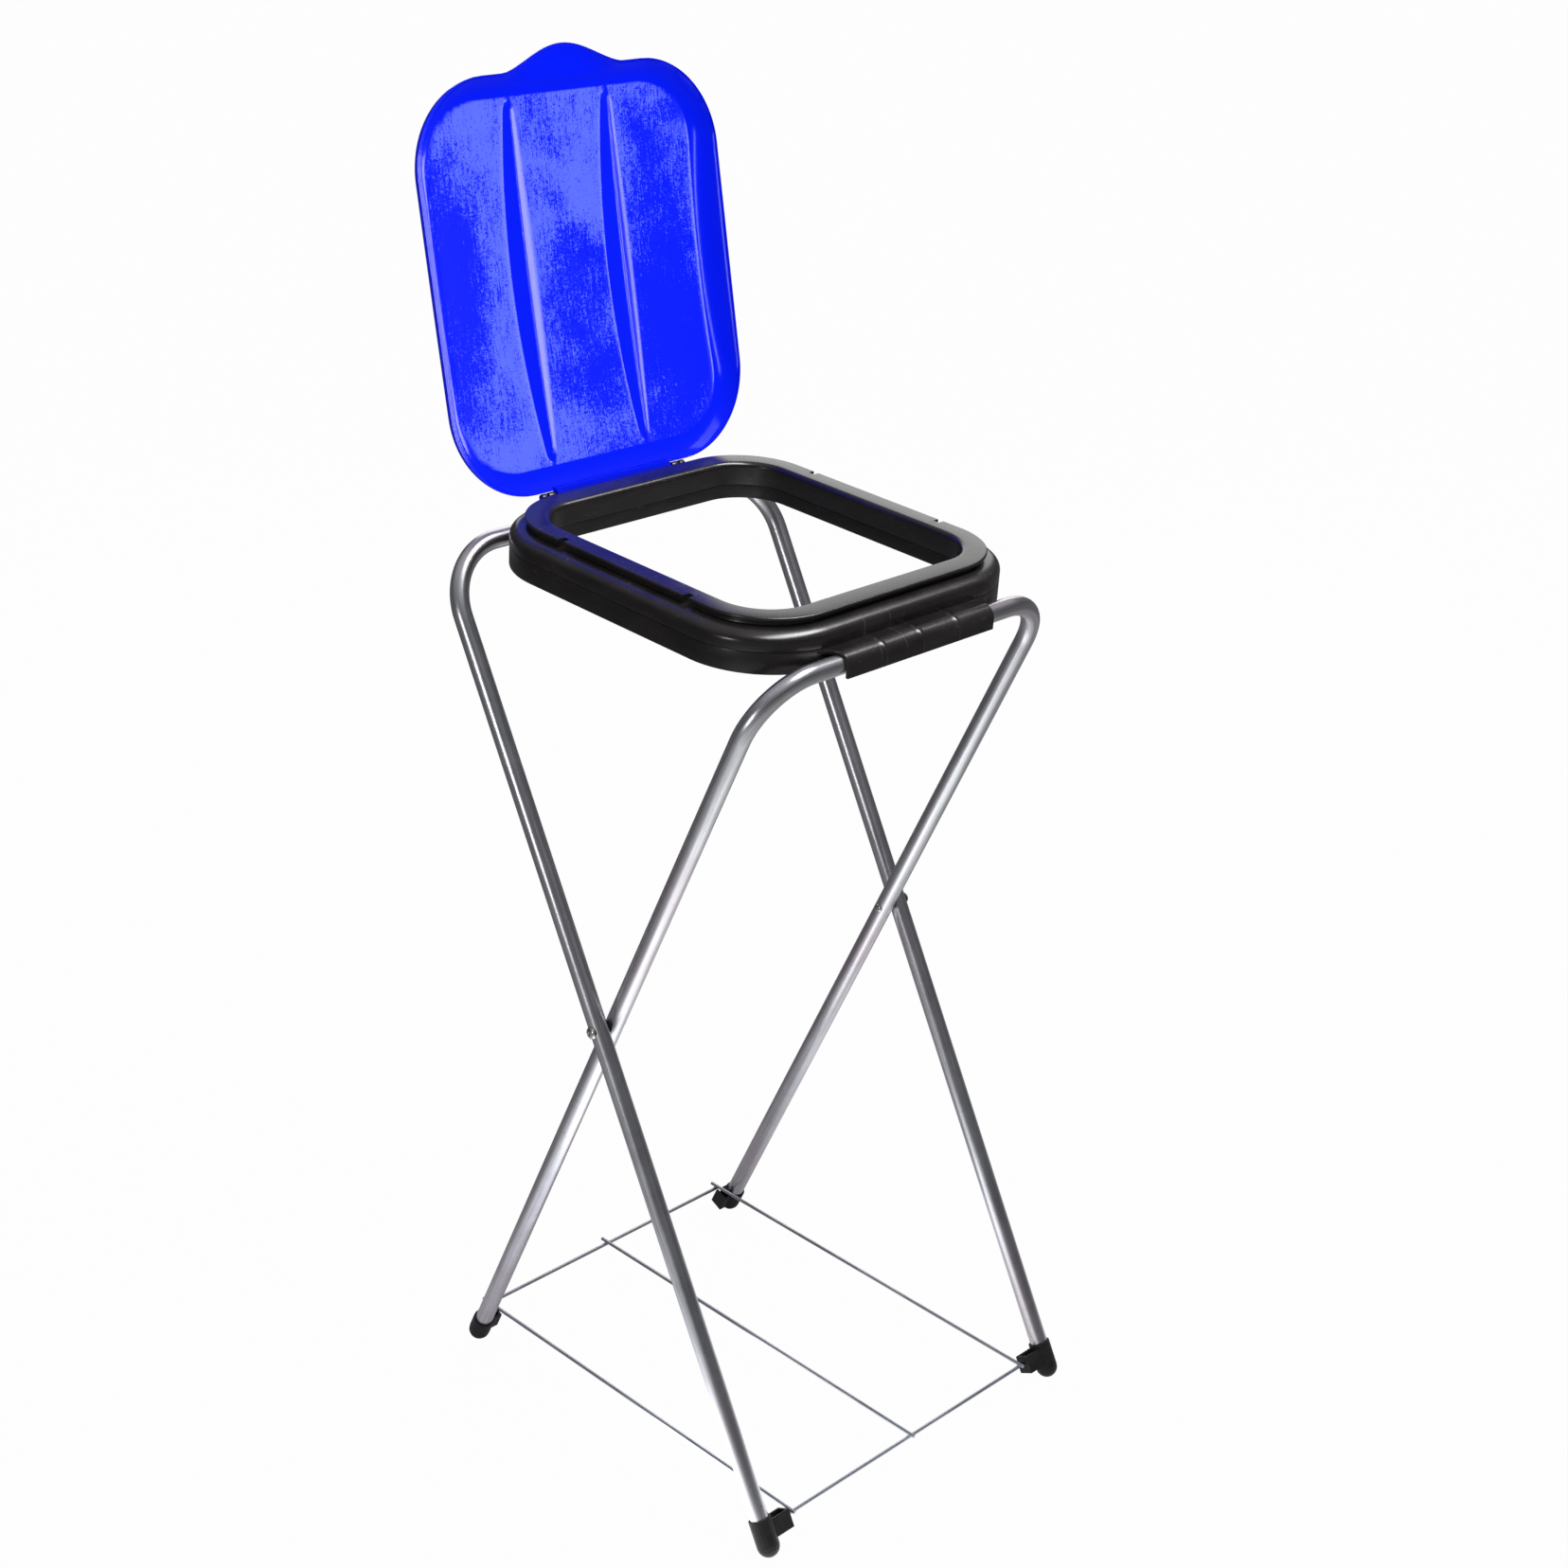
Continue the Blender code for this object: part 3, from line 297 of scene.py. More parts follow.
# Node trees
class Shade:
    """One socket of a finish; arithmetic on it adds Math nodes."""

    def __init__(self, finish, socket):
        self.finish = finish
        self.socket = socket

    def math(self, operation, *others):
        values = dict(enumerate((self, *others)))
        return self.finish.add("ShaderNodeMath", {"operation": operation}, values)

    def __add__(self, other):
        return self.math("ADD", other)

    def __sub__(self, other):
        return self.math("SUBTRACT", other)

    def __mul__(self, other):
        return self.math("MULTIPLY", other)

    def __truediv__(self, other):
        return self.math("DIVIDE", other)

    def __pow__(self, other):
        return self.math("POWER", other)

    def __rsub__(self, other):
        return self.finish.add("ShaderNodeMath", {"operation": "SUBTRACT"}, {0: other, 1: self})

    __radd__ = __add__
    __rmul__ = __mul__

    def clamped(self):
        return self.math("MAXIMUM", 0.0).math("MINIMUM", 1.0)


class Finish:
    """The node tree of one material, or of the world."""

    def __init__(self, owner):
        owner.use_nodes = True
        self.owner = owner
        self.tree = owner.node_tree

    def add(self, kind, settings=None, sockets=None, out=0):
        """A node of a type, with its settings, then its sockets' values or links; gives one output."""
        node = self.tree.nodes.new(kind)
        for key, value in (settings or {}).items():
            if key == "stops":
                ramp = node.color_ramp.elements
                for step, (place, tint) in enumerate(value):
                    stop = ramp[step] if step < 2 else ramp.new(place)
                    stop.position = place
                    stop.color = (*tint, 1.0)
            else:
                setattr(node, key, value)
        for key, value in (sockets or {}).items():
            self.put(node.inputs[key], value)
        return Shade(self, node.outputs[out])

    def put(self, socket, value):
        if isinstance(value, Shade):
            self.tree.links.new(value.socket, socket)
        else:
            socket.default_value = value

    def shader(self):
        return self.tree.nodes["Principled BSDF"]

    def place(self):
        return self.add("ShaderNodeTexCoord", out=3)

    def metres(self):
        return self.add("ShaderNodeUVMap", {"uv_map": "metres"})

    def stretched(self, vector, scale):
        return self.add("ShaderNodeMapping", {}, {"Vector": vector, "Scale": scale})

    def noise(self, vector, scale, detail=3.0, roughness=0.5, distortion=0.0):
        return self.add("ShaderNodeTexNoise", {}, {
            "Vector": vector, "Scale": scale, "Detail": detail,
            "Roughness": roughness, "Distortion": distortion})

    def mixed(self, factor, first, second):
        return self.add("ShaderNodeMix", {"data_type": "RGBA"}, {0: factor, 6: first, 7: second}, out=2)

    def bumped(self, height, strength, distance):
        return self.add("ShaderNodeBump", {}, {
            "Height": height, "Strength": strength, "Distance": distance})

    def band(self, value, low, high):
        """0 below low, 1 above high, straight between."""
        return ((value - low) / (high - low)).clamped()


def new_finish(name):
    return Finish(bpy.data.materials.new(name))


def colour(red, green, blue):
    return (red, green, blue, 1.0)


def zinc_finish(name, streaks, dull, bright):
    """Bright zinc plate: fine drawn lines along the tube, cloudy bloom and a faint violet tinge."""
    finish = new_finish(name)
    shader = finish.shader()
    where = finish.place()
    lines = finish.noise(finish.stretched(finish.metres(), (9.0, streaks, 1.0)), 1.0, 4.0, 0.6)
    bloom = finish.noise(where, 34.0, 4.0, 0.6, 0.4)
    tinge = finish.noise(where, 7.0, 2.0, 0.5)
    spots = finish.noise(where, 420.0, 2.0, 0.5)
    tone = finish.band(lines * 0.75 + bloom * 0.25, 0.38, 0.62)
    plate = finish.mixed(tone, dull, bright)
    plate = finish.mixed(finish.band(tinge, 0.46, 0.66) * 0.45, plate, colour(0.60, 0.50, 0.56))
    plate = finish.mixed(finish.band(spots, 0.68, 0.74) * 0.5, plate, colour(0.30, 0.29, 0.30))
    finish.put(shader.inputs["Base Color"], plate)
    finish.put(shader.inputs["Roughness"], lines * 0.10 + bloom * 0.10 + 0.20)
    shader.inputs["Metallic"].default_value = 1.0
    return finish.owner


def nickel_finish():
    """Bright nickel with faint turning marks and pits."""
    finish = new_finish("rivet_nickel")
    shader = finish.shader()
    where = finish.place()
    cloud = finish.noise(where, 260.0, 3.0)
    pits = finish.noise(where, 1500.0, 2.0)
    face = finish.mixed(
        finish.band(cloud, 0.35, 0.65), colour(0.52, 0.50, 0.46), colour(0.80, 0.78, 0.74))
    finish.put(shader.inputs["Base Color"], face)
    finish.put(shader.inputs["Roughness"], cloud * 0.25 + 0.08)
    shader.inputs["Metallic"].default_value = 1.0
    finish.put(shader.inputs["Normal"], finish.bumped(pits, 0.2, 0.0001))
    return finish.owner


def washer_finish():
    """Dark steel, slightly oily."""
    finish = new_finish("washer_steel")
    shader = finish.shader()
    where = finish.place()
    cloud = finish.noise(where, 300.0, 4.0)
    face = finish.mixed(cloud, colour(0.06, 0.06, 0.065), colour(0.22, 0.21, 0.21))
    finish.put(shader.inputs["Base Color"], face)
    finish.put(shader.inputs["Roughness"], cloud * 0.3 + 0.25)
    shader.inputs["Metallic"].default_value = 1.0
    return finish.owner


def foot_finish():
    """Matt black moulding with a fine grain, greyer where it rubs the floor."""
    finish = new_finish("foot_black")
    shader = finish.shader()
    where = finish.place()
    grain = finish.noise(where, 1400.0, 2.0)
    cloud = finish.noise(where, 90.0, 4.0)
    height = finish.add("ShaderNodeSeparateXYZ", {}, {0: where}, out=2)
    worn = finish.band(height * -1.0, -0.004, 0.0) * finish.band(cloud, 0.35, 0.6)
    face = finish.mixed(
        finish.band(cloud, 0.3, 0.7), colour(0.006, 0.005, 0.006), colour(0.015, 0.013, 0.015))
    face = finish.mixed(worn * 0.6, face, colour(0.09, 0.085, 0.08))
    finish.put(shader.inputs["Base Color"], face)
    finish.put(shader.inputs["Roughness"], grain * 0.16 + cloud * 0.12 + 0.34)
    shader.inputs["Specular IOR Level"].default_value = 0.28
    finish.put(shader.inputs["Normal"], finish.bumped(grain, 0.25, 0.0002))
    return finish.owner


def ring_finish():
    """Satin black moulding with a fine skin, flow marks, scuffs and two witness lines in front."""
    finish = new_finish("ring_black")
    shader = finish.shader()
    where = finish.place()
    skin = finish.noise(where, 1300.0, 2.0)
    flow = finish.noise(finish.stretched(where, (1.0, 1.0, 3.5)), 26.0, 4.0, 0.55, 0.6)
    scratch = finish.noise(finish.stretched(where, (60.0, 420.0, 420.0)), 1.0, 3.0, 0.55)
    scuff = finish.band(scratch, 0.66, 0.72) * finish.band(flow, 0.45, 0.62)
    face = finish.mixed(
        finish.band(flow, 0.3, 0.7), colour(0.0045, 0.0036, 0.0036), colour(0.0090, 0.0074, 0.0074))
    x = finish.add("ShaderNodeSeparateXYZ", {}, {0: where}, out=0)
    y = finish.add("ShaderNodeSeparateXYZ", {}, {0: where}, out=1)
    front = finish.band(y * -1.0, 0.170, 0.176) * finish.band(flow, 0.35, 0.55)
    witness = front * sum(
        1.0 - finish.band((x - mark).math("ABSOLUTE"), 0.0003, 0.0008) for mark in SHOULDER_MARKS)
    face = finish.mixed(scuff * 0.5 + witness * 0.35, face, colour(0.050, 0.045, 0.044))
    finish.put(shader.inputs["Base Color"], face)
    finish.put(shader.inputs["Roughness"], flow * 0.14 + skin * 0.04 + scuff * 0.15 + 0.17)
    finish.put(shader.inputs["Normal"], finish.bumped(skin * 0.6 + flow * 0.25, 0.08, 0.0003))
    shader.inputs["Specular IOR Level"].default_value = 0.50
    return finish.owner


def lid_finish():
    """Saturated blue moulding: polished rim and ribs, grained panels with a mottled bloom that is also a
    painted sheen, and patches of painted shade.
    """
    finish = new_finish("lid_blue")
    shader = finish.shader()
    where = finish.place()
    metres = finish.metres()
    x = finish.add("ShaderNodeSeparateXYZ", {}, {0: metres}, out=0)
    s = finish.add("ShaderNodeSeparateXYZ", {}, {0: metres}, out=1)
    panel = finish.add("ShaderNodeAttribute", {"attribute_name": "panel"}, out=2)
    speck = finish.noise(where, 620.0, 3.0, 0.7)
    fleck = finish.noise(where, 260.0, 3.0, 0.6)
    cloud = finish.noise(where, 17.0, 3.0, 0.55, 0.3)
    streak = finish.noise(finish.stretched(metres, (700.0, 40.0, 1.0)), 1.0, 3.0, 0.6)

    def spot(at_x, at_s, wide, tall, soft):
        near = (((x - at_x) / wide) ** 2.0 + ((s - at_s) / tall) ** 2.0).math("SQRT")
        return 1.0 - finish.band(near, 1.0 - soft, 1.0 + soft)

    gate = spot(*GATE)
    mark = spot(*DARK_MARK) * finish.band(fleck, 0.42, 0.54)
    faint = spot(*FAINT_MARK) * finish.band(fleck, 0.46, 0.60)
    # Painted shade: deep blue patches where the panels show no haze from the lamps.
    painted_shade = sum(spot(*patch) * share for share, patch in PAINTED_SHADE_PATCHES)
    grain = speck * 0.50 + fleck * 0.2 + streak * 0.30
    # The bloom is the moulding's own mottle and also a painted sheen: its paler blue stands in for the
    # lamps' haze on the panels.
    bloom = finish.band(grain + cloud * 0.40 - painted_shade.clamped() * 0.19, 0.62, 0.72) * panel
    bloom = bloom * (1.0 - gate) * (1.0 - mark * 0.9) * (1.0 - faint * 0.6)
    # The paler blue here is the colour of the painted sheen.
    face = finish.mixed(bloom * 0.92, colour(0.0, 0.0075, 0.70), colour(0.074, 0.112, 0.78))
    finish.put(shader.inputs["Base Color"], face)
    finish.put(shader.inputs["Roughness"], panel * (grain * 0.08 + 0.03) + bloom * 0.16 + 0.14)
    relief = (speck + fleck * 0.6) * panel + gate * -0.6
    finish.put(shader.inputs["Normal"], finish.bumped(relief, 0.12, 0.0003))
    shader.inputs["Specular IOR Level"].default_value = 0.30
    shader.inputs["Specular Tint"].default_value = colour(0.36, 0.42, 1.0)
    return finish.owner


# Tube frames
def tube_path(half_width, up, upper, bend, foot):
    """Centreline of a U: straight leg, quarter circle, crossbar, quarter circle, straight leg.

    In the frame's plane a bend is centre + bend * (cos t, sin t) for t from 0 to a quarter turn.
    """
    near = np.linspace(-DENT_LENGTH / 2, DENT_LENGTH / 2, 21)
    below = np.linspace(-foot, near[0], 40)[:-1]
    above = np.linspace(near[-1], upper - bend, 40)[1:-1]
    height = np.concatenate([below, near, above])
    turn = np.linspace(0, math.pi / 2, 33)
    x = np.concatenate([np.full_like(height, half_width), half_width - bend + bend * np.cos(turn)])
    h = np.concatenate([height, upper - bend + bend * np.sin(turn)])
    tangent_x = np.concatenate([np.zeros_like(height), -np.sin(turn)])
    tangent_h = np.concatenate([np.ones_like(height), np.cos(turn)])
    bar = np.linspace(half_width - bend, 0, 14)[1:]
    x, h = np.concatenate([x, bar]), np.concatenate([h, np.full_like(bar, upper)])
    tangent_x = np.concatenate([tangent_x, -np.ones_like(bar)])
    tangent_h = np.concatenate([tangent_h, np.zeros_like(bar)])
    x, h = np.concatenate([x, -x[-2::-1]]), np.concatenate([h, h[-2::-1]])
    tangent_x = np.concatenate([tangent_x, tangent_x[-2::-1]])
    tangent_h = np.concatenate([tangent_h, -tangent_h[-2::-1]])
    side = np.array([1.0, 0, 0])
    points = PIVOT + x[:, None] * side + h[:, None] * up
    tangents = tangent_x[:, None] * side + tangent_h[:, None] * up
    return points, tangents


def bent_tube(half_width, up, upper, bend, foot, dent=0.0):
    """Round tube on a U path: point + radius * (across * cos a + normal * sin a), ends closed.

    A dent flattens the outer side at the pivot by dent * (1 - distance squared) squared.
    """
    points, tangents = tube_path(half_width, up, upper, bend, foot)
    normal = np.cross([1.0, 0, 0], up)
    across = np.cross(normal, tangents)
    angles = np.arange(TUBE_SIDES) * math.tau / TUBE_SIDES
    rings = points[:, None] + TUBE_RADIUS * (
        np.cos(angles)[None, :, None] * across[:, None] + np.sin(angles)[None, :, None] * normal)
    away = np.linalg.norm((points - PIVOT)[:, 1:], axis=1) / (DENT_LENGTH / 2)
    depth = dent * np.clip(1 - away**2, 0, 1) ** 2
    face = np.where(depth > 0, np.abs(points[:, 0]) + TUBE_RADIUS - depth, np.inf)[:, None]
    rings[..., 0] = np.clip(rings[..., 0], -face, face)
    return surface(rings, wrap_columns=True, ends=True)


def make_frames(zinc):
    foot = (PIVOT[2] - TUBE_END_HEIGHT) / math.cos(OUTER_LEAN)
    outer = bent_tube(OUTER_HALF_WIDTH, OUTER_UP, OUTER_UPPER_LENGTH, OUTER_BEND_RADIUS, foot)
    piece("outer_tube_drawn", [outer], zinc, "outer_frame", "outer_frame_tube")
    foot = (PIVOT[2] - TUBE_END_HEIGHT) / math.cos(INNER_LEAN)
    inner = bent_tube(INNER_HALF_WIDTH, INNER_UP, INNER_UPPER_LENGTH, INNER_BEND_RADIUS, foot, DENT_DEPTH)
    piece("inner_tube_drawn", [inner], zinc, "inner_frame", "inner_frame_tube")


def make_rivets(nickel):
    """Domed head with a shallow dimple, shank and formed tail, turned about X."""
    for side, hand in ((-1, "left"), (1, "right")):
        low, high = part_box("pivot_rivet_" + hand)
        outside = high.x if side > 0 else low.x
        inside = low.x if side > 0 else high.x
        length = abs(outside - inside)
        turn = np.linspace(0, math.pi / 2, 13)
        head = np.stack([RIVET_HEAD_RADIUS * np.sin(turn),
                         RIVET_HEAD_HEIGHT * (1 - np.cos(turn))], axis=1)
        dimple = np.array([(0.0, 0.0007), (0.0008, 0.0006), (0.0016, 0.0001)])
        under_head = RIVET_HEAD_HEIGHT + 0.0001
        shank = np.array([(RIVET_HEAD_RADIUS - 0.00005, under_head), (RIVET_SHANK_RADIUS, under_head),
                          (RIVET_SHANK_RADIUS, length - RIVET_TAIL_HEIGHT)])
        tail = np.stack([RIVET_TAIL_RADIUS * np.cos(turn),
                         length - RIVET_TAIL_HEIGHT * (1 - np.sin(turn))], axis=1)
        tail[-1, 0] = 0.0
        profile = np.concatenate([dimple, head[head[:, 0] > DIMPLE_RADIUS], shank, tail])
        base = np.array([outside, PIVOT[1], PIVOT[2]])
        mesh = spun(profile, base, (-side, 0, 0), 40)
        piece("rivet_turned_" + hand, [mesh], nickel, "outer_frame", "pivot_rivet_" + hand)


# Wire shelf
def wire(start, end):
    """Round wire between two points with rounded ends."""
    start, end = np.asarray(start, float), np.asarray(end, float)
    length = np.linalg.norm(end - start)
    turn = np.linspace(0, math.pi / 2, 5)
    tip = np.stack([WIRE_RADIUS - WIRE_END_ROUND * (1 - np.sin(turn)),
                    WIRE_END_ROUND * (1 - np.cos(turn))], axis=1)
    run = np.linspace(WIRE_END_ROUND, length - WIRE_END_ROUND, 30)
    body = np.stack([np.full_like(run, WIRE_RADIUS), run], axis=1)
    far = np.stack([tip[::-1, 0], length - tip[::-1, 1]], axis=1)
    profile = np.concatenate([[(0.0, 0.0)], tip, body[1:-1], far, [(0.0, length)]])
    return spun(profile, start, (end - start) / length, 24)


def bead(centre, size_x, size_y, size_z):
    """Weld bead: an ellipsoid, centre + size * (cos a cos b, sin a cos b, sin b)."""
    b = np.linspace(-math.pi / 2, math.pi / 2, 13)[:, None]
    a = (np.arange(20) * math.tau / 20)[None, :]
    a, b = np.broadcast_arrays(a, b)
    points = np.stack([size_x * np.cos(a) * np.cos(b), size_y * np.sin(a) * np.cos(b),
                       size_z * np.sin(b)], axis=-1)
    return surface(centre + points, wrap_columns=True)


def make_shelf(zinc_wire):
    """Two cross wires and three long ones above them, with a weld bead at each crossing."""
    heights = {}
    for end in ("front", "back"):
        low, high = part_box("grid_wire_" + end)
        middle = (low + high) / 2
        heights[end] = (middle.y, middle.z)
        mesh = wire((low.x, middle.y, middle.z), (high.x, middle.y, middle.z))
        piece("cross_wire_" + end, [mesh], zinc_wire, "wire_shelf", "grid_wire_" + end)
    for hand in ("left", "middle", "right"):
        low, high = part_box("grid_wire_" + hand)
        x = (low.x + high.x) / 2
        run, rise = high.y - low.y, high.z - low.z
        slope = math.atan2(rise - 2 * WIRE_RADIUS, run)
        lift, draw = WIRE_RADIUS * math.cos(slope), WIRE_RADIUS * math.sin(slope)
        rising = heights["back"][1] >= heights["front"][1]
        first, last = (low.z + lift, high.z - lift) if rising else (high.z - lift, low.z + lift)
        start, end = np.array([x, low.y + abs(draw), first]), np.array([x, high.y - abs(draw), last])
        meshes = [wire(start, end)]
        for y, z in heights.values():
            share = (y - start[1]) / (end[1] - start[1])
            over = start[2] + (end[2] - start[2]) * share
            meshes.append(bead(np.array([x, y, (z + over) / 2]), *WELD_SIZE))
        piece("long_wire_" + hand, meshes, zinc_wire, "wire_shelf", "grid_wire_" + hand)


# Rings
def ring_loop(side, end, height):
    """Loops of a rounded rectangle for arrays of insets and heights: straight sides, circular corners."""
    half_x, half_y = RING_HALF_WIDTH - side, RING_HALF_DEPTH - end
    radius = RING_CORNER_RADIUS - (side + end) / 2
    turn = np.linspace(0, math.pi / 2, 37)
    edges = np.concatenate([NOTCH_SPACING + np.array([-1, 1]) * (NOTCH_WIDTH / 2 + step)
                            for step in (0.0, 0.0002)])
    run = np.sort(np.concatenate([edges, -edges, np.linspace(-0.05, 0.05, 11)]))
    parts = []
    for corner, (sx, sy) in enumerate(((1, 1), (-1, 1), (-1, -1), (1, -1))):
        angle = turn + corner * math.pi / 2
        x = sx * (half_x - radius)[:, None] + radius[:, None] * np.cos(angle)
        y = sy * (half_y - radius)[:, None] + radius[:, None] * np.sin(angle)
        parts.append((x, y))
        if corner in (0, 2):
            x = np.linspace(0.07, -0.07, 9) * sx
            parts.append((np.broadcast_to(x, (len(side), 9)), np.repeat(sy * half_y[:, None], 9, axis=1)))
        else:
            y = (run[::-1] if sx < 0 else run)[None, :]
            y = np.clip(y, -(half_y - radius)[:, None], (half_y - radius)[:, None])
            parts.append((np.repeat(sx * half_x[:, None], y.shape[1], axis=1), y))
    x = np.concatenate([part[0] for part in parts], axis=1)
    y = np.concatenate([part[1] for part in parts], axis=1)
    return x, y, np.repeat(height[:, None], x.shape[1], axis=1)


def ring_surface(section, notched=False):
    """A section carried round the ring; notches push the flange's lip in between their edges."""
    side, end, height = softened(section).T
    x, y, z = ring_loop(side, end, height)
    if notched:
        inside = np.abs(np.abs(y) - NOTCH_SPACING) <= NOTCH_WIDTH / 2 + 0.0001
        straight = np.abs(x) > RING_HALF_WIDTH - RING_BAND - 0.01
        high = z >= FLANGE_TOP - FLANGE_THICKNESS - 0.0007
        limit = RING_HALF_WIDTH - FLANGE_INSET_SIDE - NOTCH_DEPTH
        cut = inside & straight & high & (side < 0.0300)[:, None]
        x = np.where(cut, np.clip(x, -limit, limit), x)
    return surface(in_ring(x, y, z), wrap_rows=True, wrap_columns=True)


def lower_section():
    """Inverted channel with a stepped top: outer wall, deck, inner skirt."""
    wall, band = RING_WALL, RING_BAND
    top = LOWER_RING_HEIGHT - RING_SEAM / 2
    high = top + RING_STEP
    step = band * STEP_SHARE
    skirt = band - RIM_DRAFT / 2
    points = [
        (0, 0), (0, top), (step, top), (step + RING_STEP, high), (band, high),
        (skirt, INNER_SKIRT_HEIGHT), (skirt - wall, INNER_SKIRT_HEIGHT), (band - wall, high - wall),
        (step + RING_STEP, high - wall), (step, top - wall), (wall, top - wall), (wall, 0),
    ]
    return [(inset, inset, height) for inset, height in points]


def upper_section():
    """Inverted channel with a rounded shoulder, an undercut groove and a flat flange above it.

    The shoulder is a quarter superellipse, 1 - cos a and sin a each to a power just under one.
    """
    wall, band = RING_WALL, RING_BAND
    base = LOWER_RING_HEIGHT + RING_SEAM / 2
    high = base + RING_STEP
    rim = band + RIM_DRAFT
    top, under = FLANGE_TOP, FLANGE_TOP - FLANGE_THICKNESS
    groove = (FLANGE_INSET_SIDE + FLANGE_INSET_END) / 2 + GROOVE_BEHIND_FLANGE
    low = SHOULDER_HEIGHT
    crest = low + SHOULDER_RISE
    turn = np.linspace(0, math.pi / 2, 7)
    start = low - SHOULDER_ROUND
    sweep = np.linspace(0, math.pi / 2, 13)[:-1]
    power = SHOULDER_POWER
    shoulder = [(groove * (1 - math.cos(a) ** power), start + (crest - start) * math.sin(a) ** power)
                for a in sweep] + [(groove, crest)]
    outside = [(0, base)] + shoulder + [(groove, under)]
    lip = LIP_ROUND
    roll = [(rim - lip + lip * math.sin(a), top - lip + lip * math.cos(a)) for a in turn]
    inside = roll + [
        (band, high), (band - wall, high), (rim - wall, top - wall), (groove + wall, top - wall),
        (groove + wall, crest - wall), (band * STEP_SHARE + RING_STEP, (low + crest) / 2 - wall),
        (wall * 1.4, low - wall), (wall, base),
    ]
    edge = [
        (FLANGE_INSET_SIDE, FLANGE_INSET_END, under),
        (FLANGE_INSET_SIDE, FLANGE_INSET_END, top - FLANGE_EDGE_ROUND),
        (FLANGE_INSET_SIDE + FLANGE_EDGE_ROUND, FLANGE_INSET_END + FLANGE_EDGE_ROUND, top),
    ]
    return [(i, i, h) for i, h in outside] + edge + [(i, i, h) for i, h in inside]


def sleeve(end):
    """Half-round channel over a crossbar, carried along X with three thin witness bands.

    The section is an arc about the bar with a roof to the ring; its left end flares along the roof.
    """
    bar = RING_HALF_DEPTH + RING_BAR_GAP + TUBE_RADIUS
    inside = TUBE_RADIUS + SLEEVE_CLEARANCE
    outside = inside + SLEEVE_WALL
    centre = BAR_HEIGHT_IN_RING
    turn = np.linspace(0, math.pi / 2, 17)
    wall = RING_HALF_DEPTH - RING_WALL / 2
    roof = np.linspace(wall, bar, 7)[:-1]
    outer_y = np.concatenate([roof, bar + outside * np.sin(turn), [bar + outside] * 3])
    outer_z = np.concatenate([np.full(6, centre + outside), centre + outside * np.cos(turn),
                              centre - TUBE_RADIUS * np.array([0.4, 0.8, 1.0])])
    inner_y = np.concatenate([[bar + inside] * 2, bar + inside * np.sin(turn[::-1]), roof[::-1]])
    inner_z = np.concatenate([centre - TUBE_RADIUS * np.array([1.0, 0.5]),
                              centre + inside * np.cos(turn[::-1]), np.full(6, centre + inside)])
    y = np.concatenate([outer_y, inner_y])
    z = np.concatenate([outer_z, inner_z])
    half = SLEEVE_HALF_LENGTH
    quarters = np.array([-half / 2, 0.0, half / 2])
    steps = WITNESS_HALF_WIDTH * np.array([-1, -0.5, 0.5, 1])
    bands = (quarters[None, :] + steps[:, None]).ravel()
    ease = 0.0004
    x = np.unique(np.concatenate([
        np.linspace(-half, half, 41), quarters, [-half + ease, half - ease], bands]))
    away = np.abs(x[:, None] - quarters) / WITNESS_HALF_WIDTH
    raised = np.max(np.clip(1 - away, 0, 1), axis=1) * WITNESS_HEIGHT
    eased = np.where(np.abs(x) > half - ease / 2, -ease, 0.0)
    push = (raised + eased)[:, None] * (np.arange(len(y)) < len(outer_y))
    out_y = np.where(y > bar, y - bar, 0)
    out_z = np.where(z > centre, z - centre, 0)
    size = np.maximum(np.hypot(out_y, out_z), 1e-6)
    ys = y + push * out_y / size
    zs = z + push * out_z / size
    xs = np.repeat(x[:, None], len(y), axis=1)
    if end < 0:
        near_ring = np.clip((bar - y) / (bar - wall), 0, 1)
        flare = smooth_step((-x - FLARE_START) / FLARE_LENGTH)[:, None]
        xs = xs - FLARE_LENGTH * flare * near_ring[None, :] ** 1.5
    return surface(in_ring(xs, ys * (1 if end > 0 else -1), zs), wrap_columns=True, ends=True)


def arm(low_x, high_x, foot, full):
    """A flat arm rising to a round eye on the hinge axis, carried along X with eased faces."""
    (front, low), (back, high) = foot
    turn = np.linspace(-math.pi / 2 if full else 0, math.pi, 25)
    y = np.concatenate([HINGE_Y + EYE_RADIUS * np.cos(turn), [front, front, back]])
    z = np.concatenate([HINGE_HEIGHT + EYE_RADIUS * np.sin(turn), [high, low, low]])
    ease = 0.0003
    x = np.array([low_x, low_x + ease, high_x - ease, high_x])
    middle_y, middle_z = y.mean(), z.mean()
    shrink = np.array([1 - 0.05, 1, 1, 1 - 0.05])[:, None]
    ys, zs = middle_y + (y - middle_y) * shrink, middle_z + (z - middle_z) * shrink
    return surface(in_ring(x[:, None], ys, zs), wrap_columns=True, ends=True)


def make_rings(black):
    lug_foot = ((RING_HALF_DEPTH + 0.0003, BAR_HEIGHT_IN_RING + TUBE_RADIUS + 0.0010),
                (HINGE_Y + EYE_RADIUS, HINGE_HEIGHT))
    lower = [ring_surface(lower_section()), sleeve(-1), sleeve(1)]
    lower += [arm(*sorted((side * LUG_START, side * LUG_END)), lug_foot, False) for side in (-1, 1)]
    lower = piece("lower_ring_moulded", lower, black, "lower_ring", "base_frame", 32.0)
    ear_foot = ((RING_HALF_DEPTH - RING_WALL / 2, LOWER_RING_HEIGHT + RING_STEP),
                (RING_HALF_DEPTH + 0.0003, SHOULDER_HEIGHT - 0.0003))
    upper = [ring_surface(upper_section(), True)]
    upper += [arm(*sorted((side * EAR_START, side * EAR_END)), ear_foot, True) for side in (-1, 1)]
    return lower, piece("clamp_ring_moulded", upper, black, "upper_ring", "clamp_ring", 32.0)


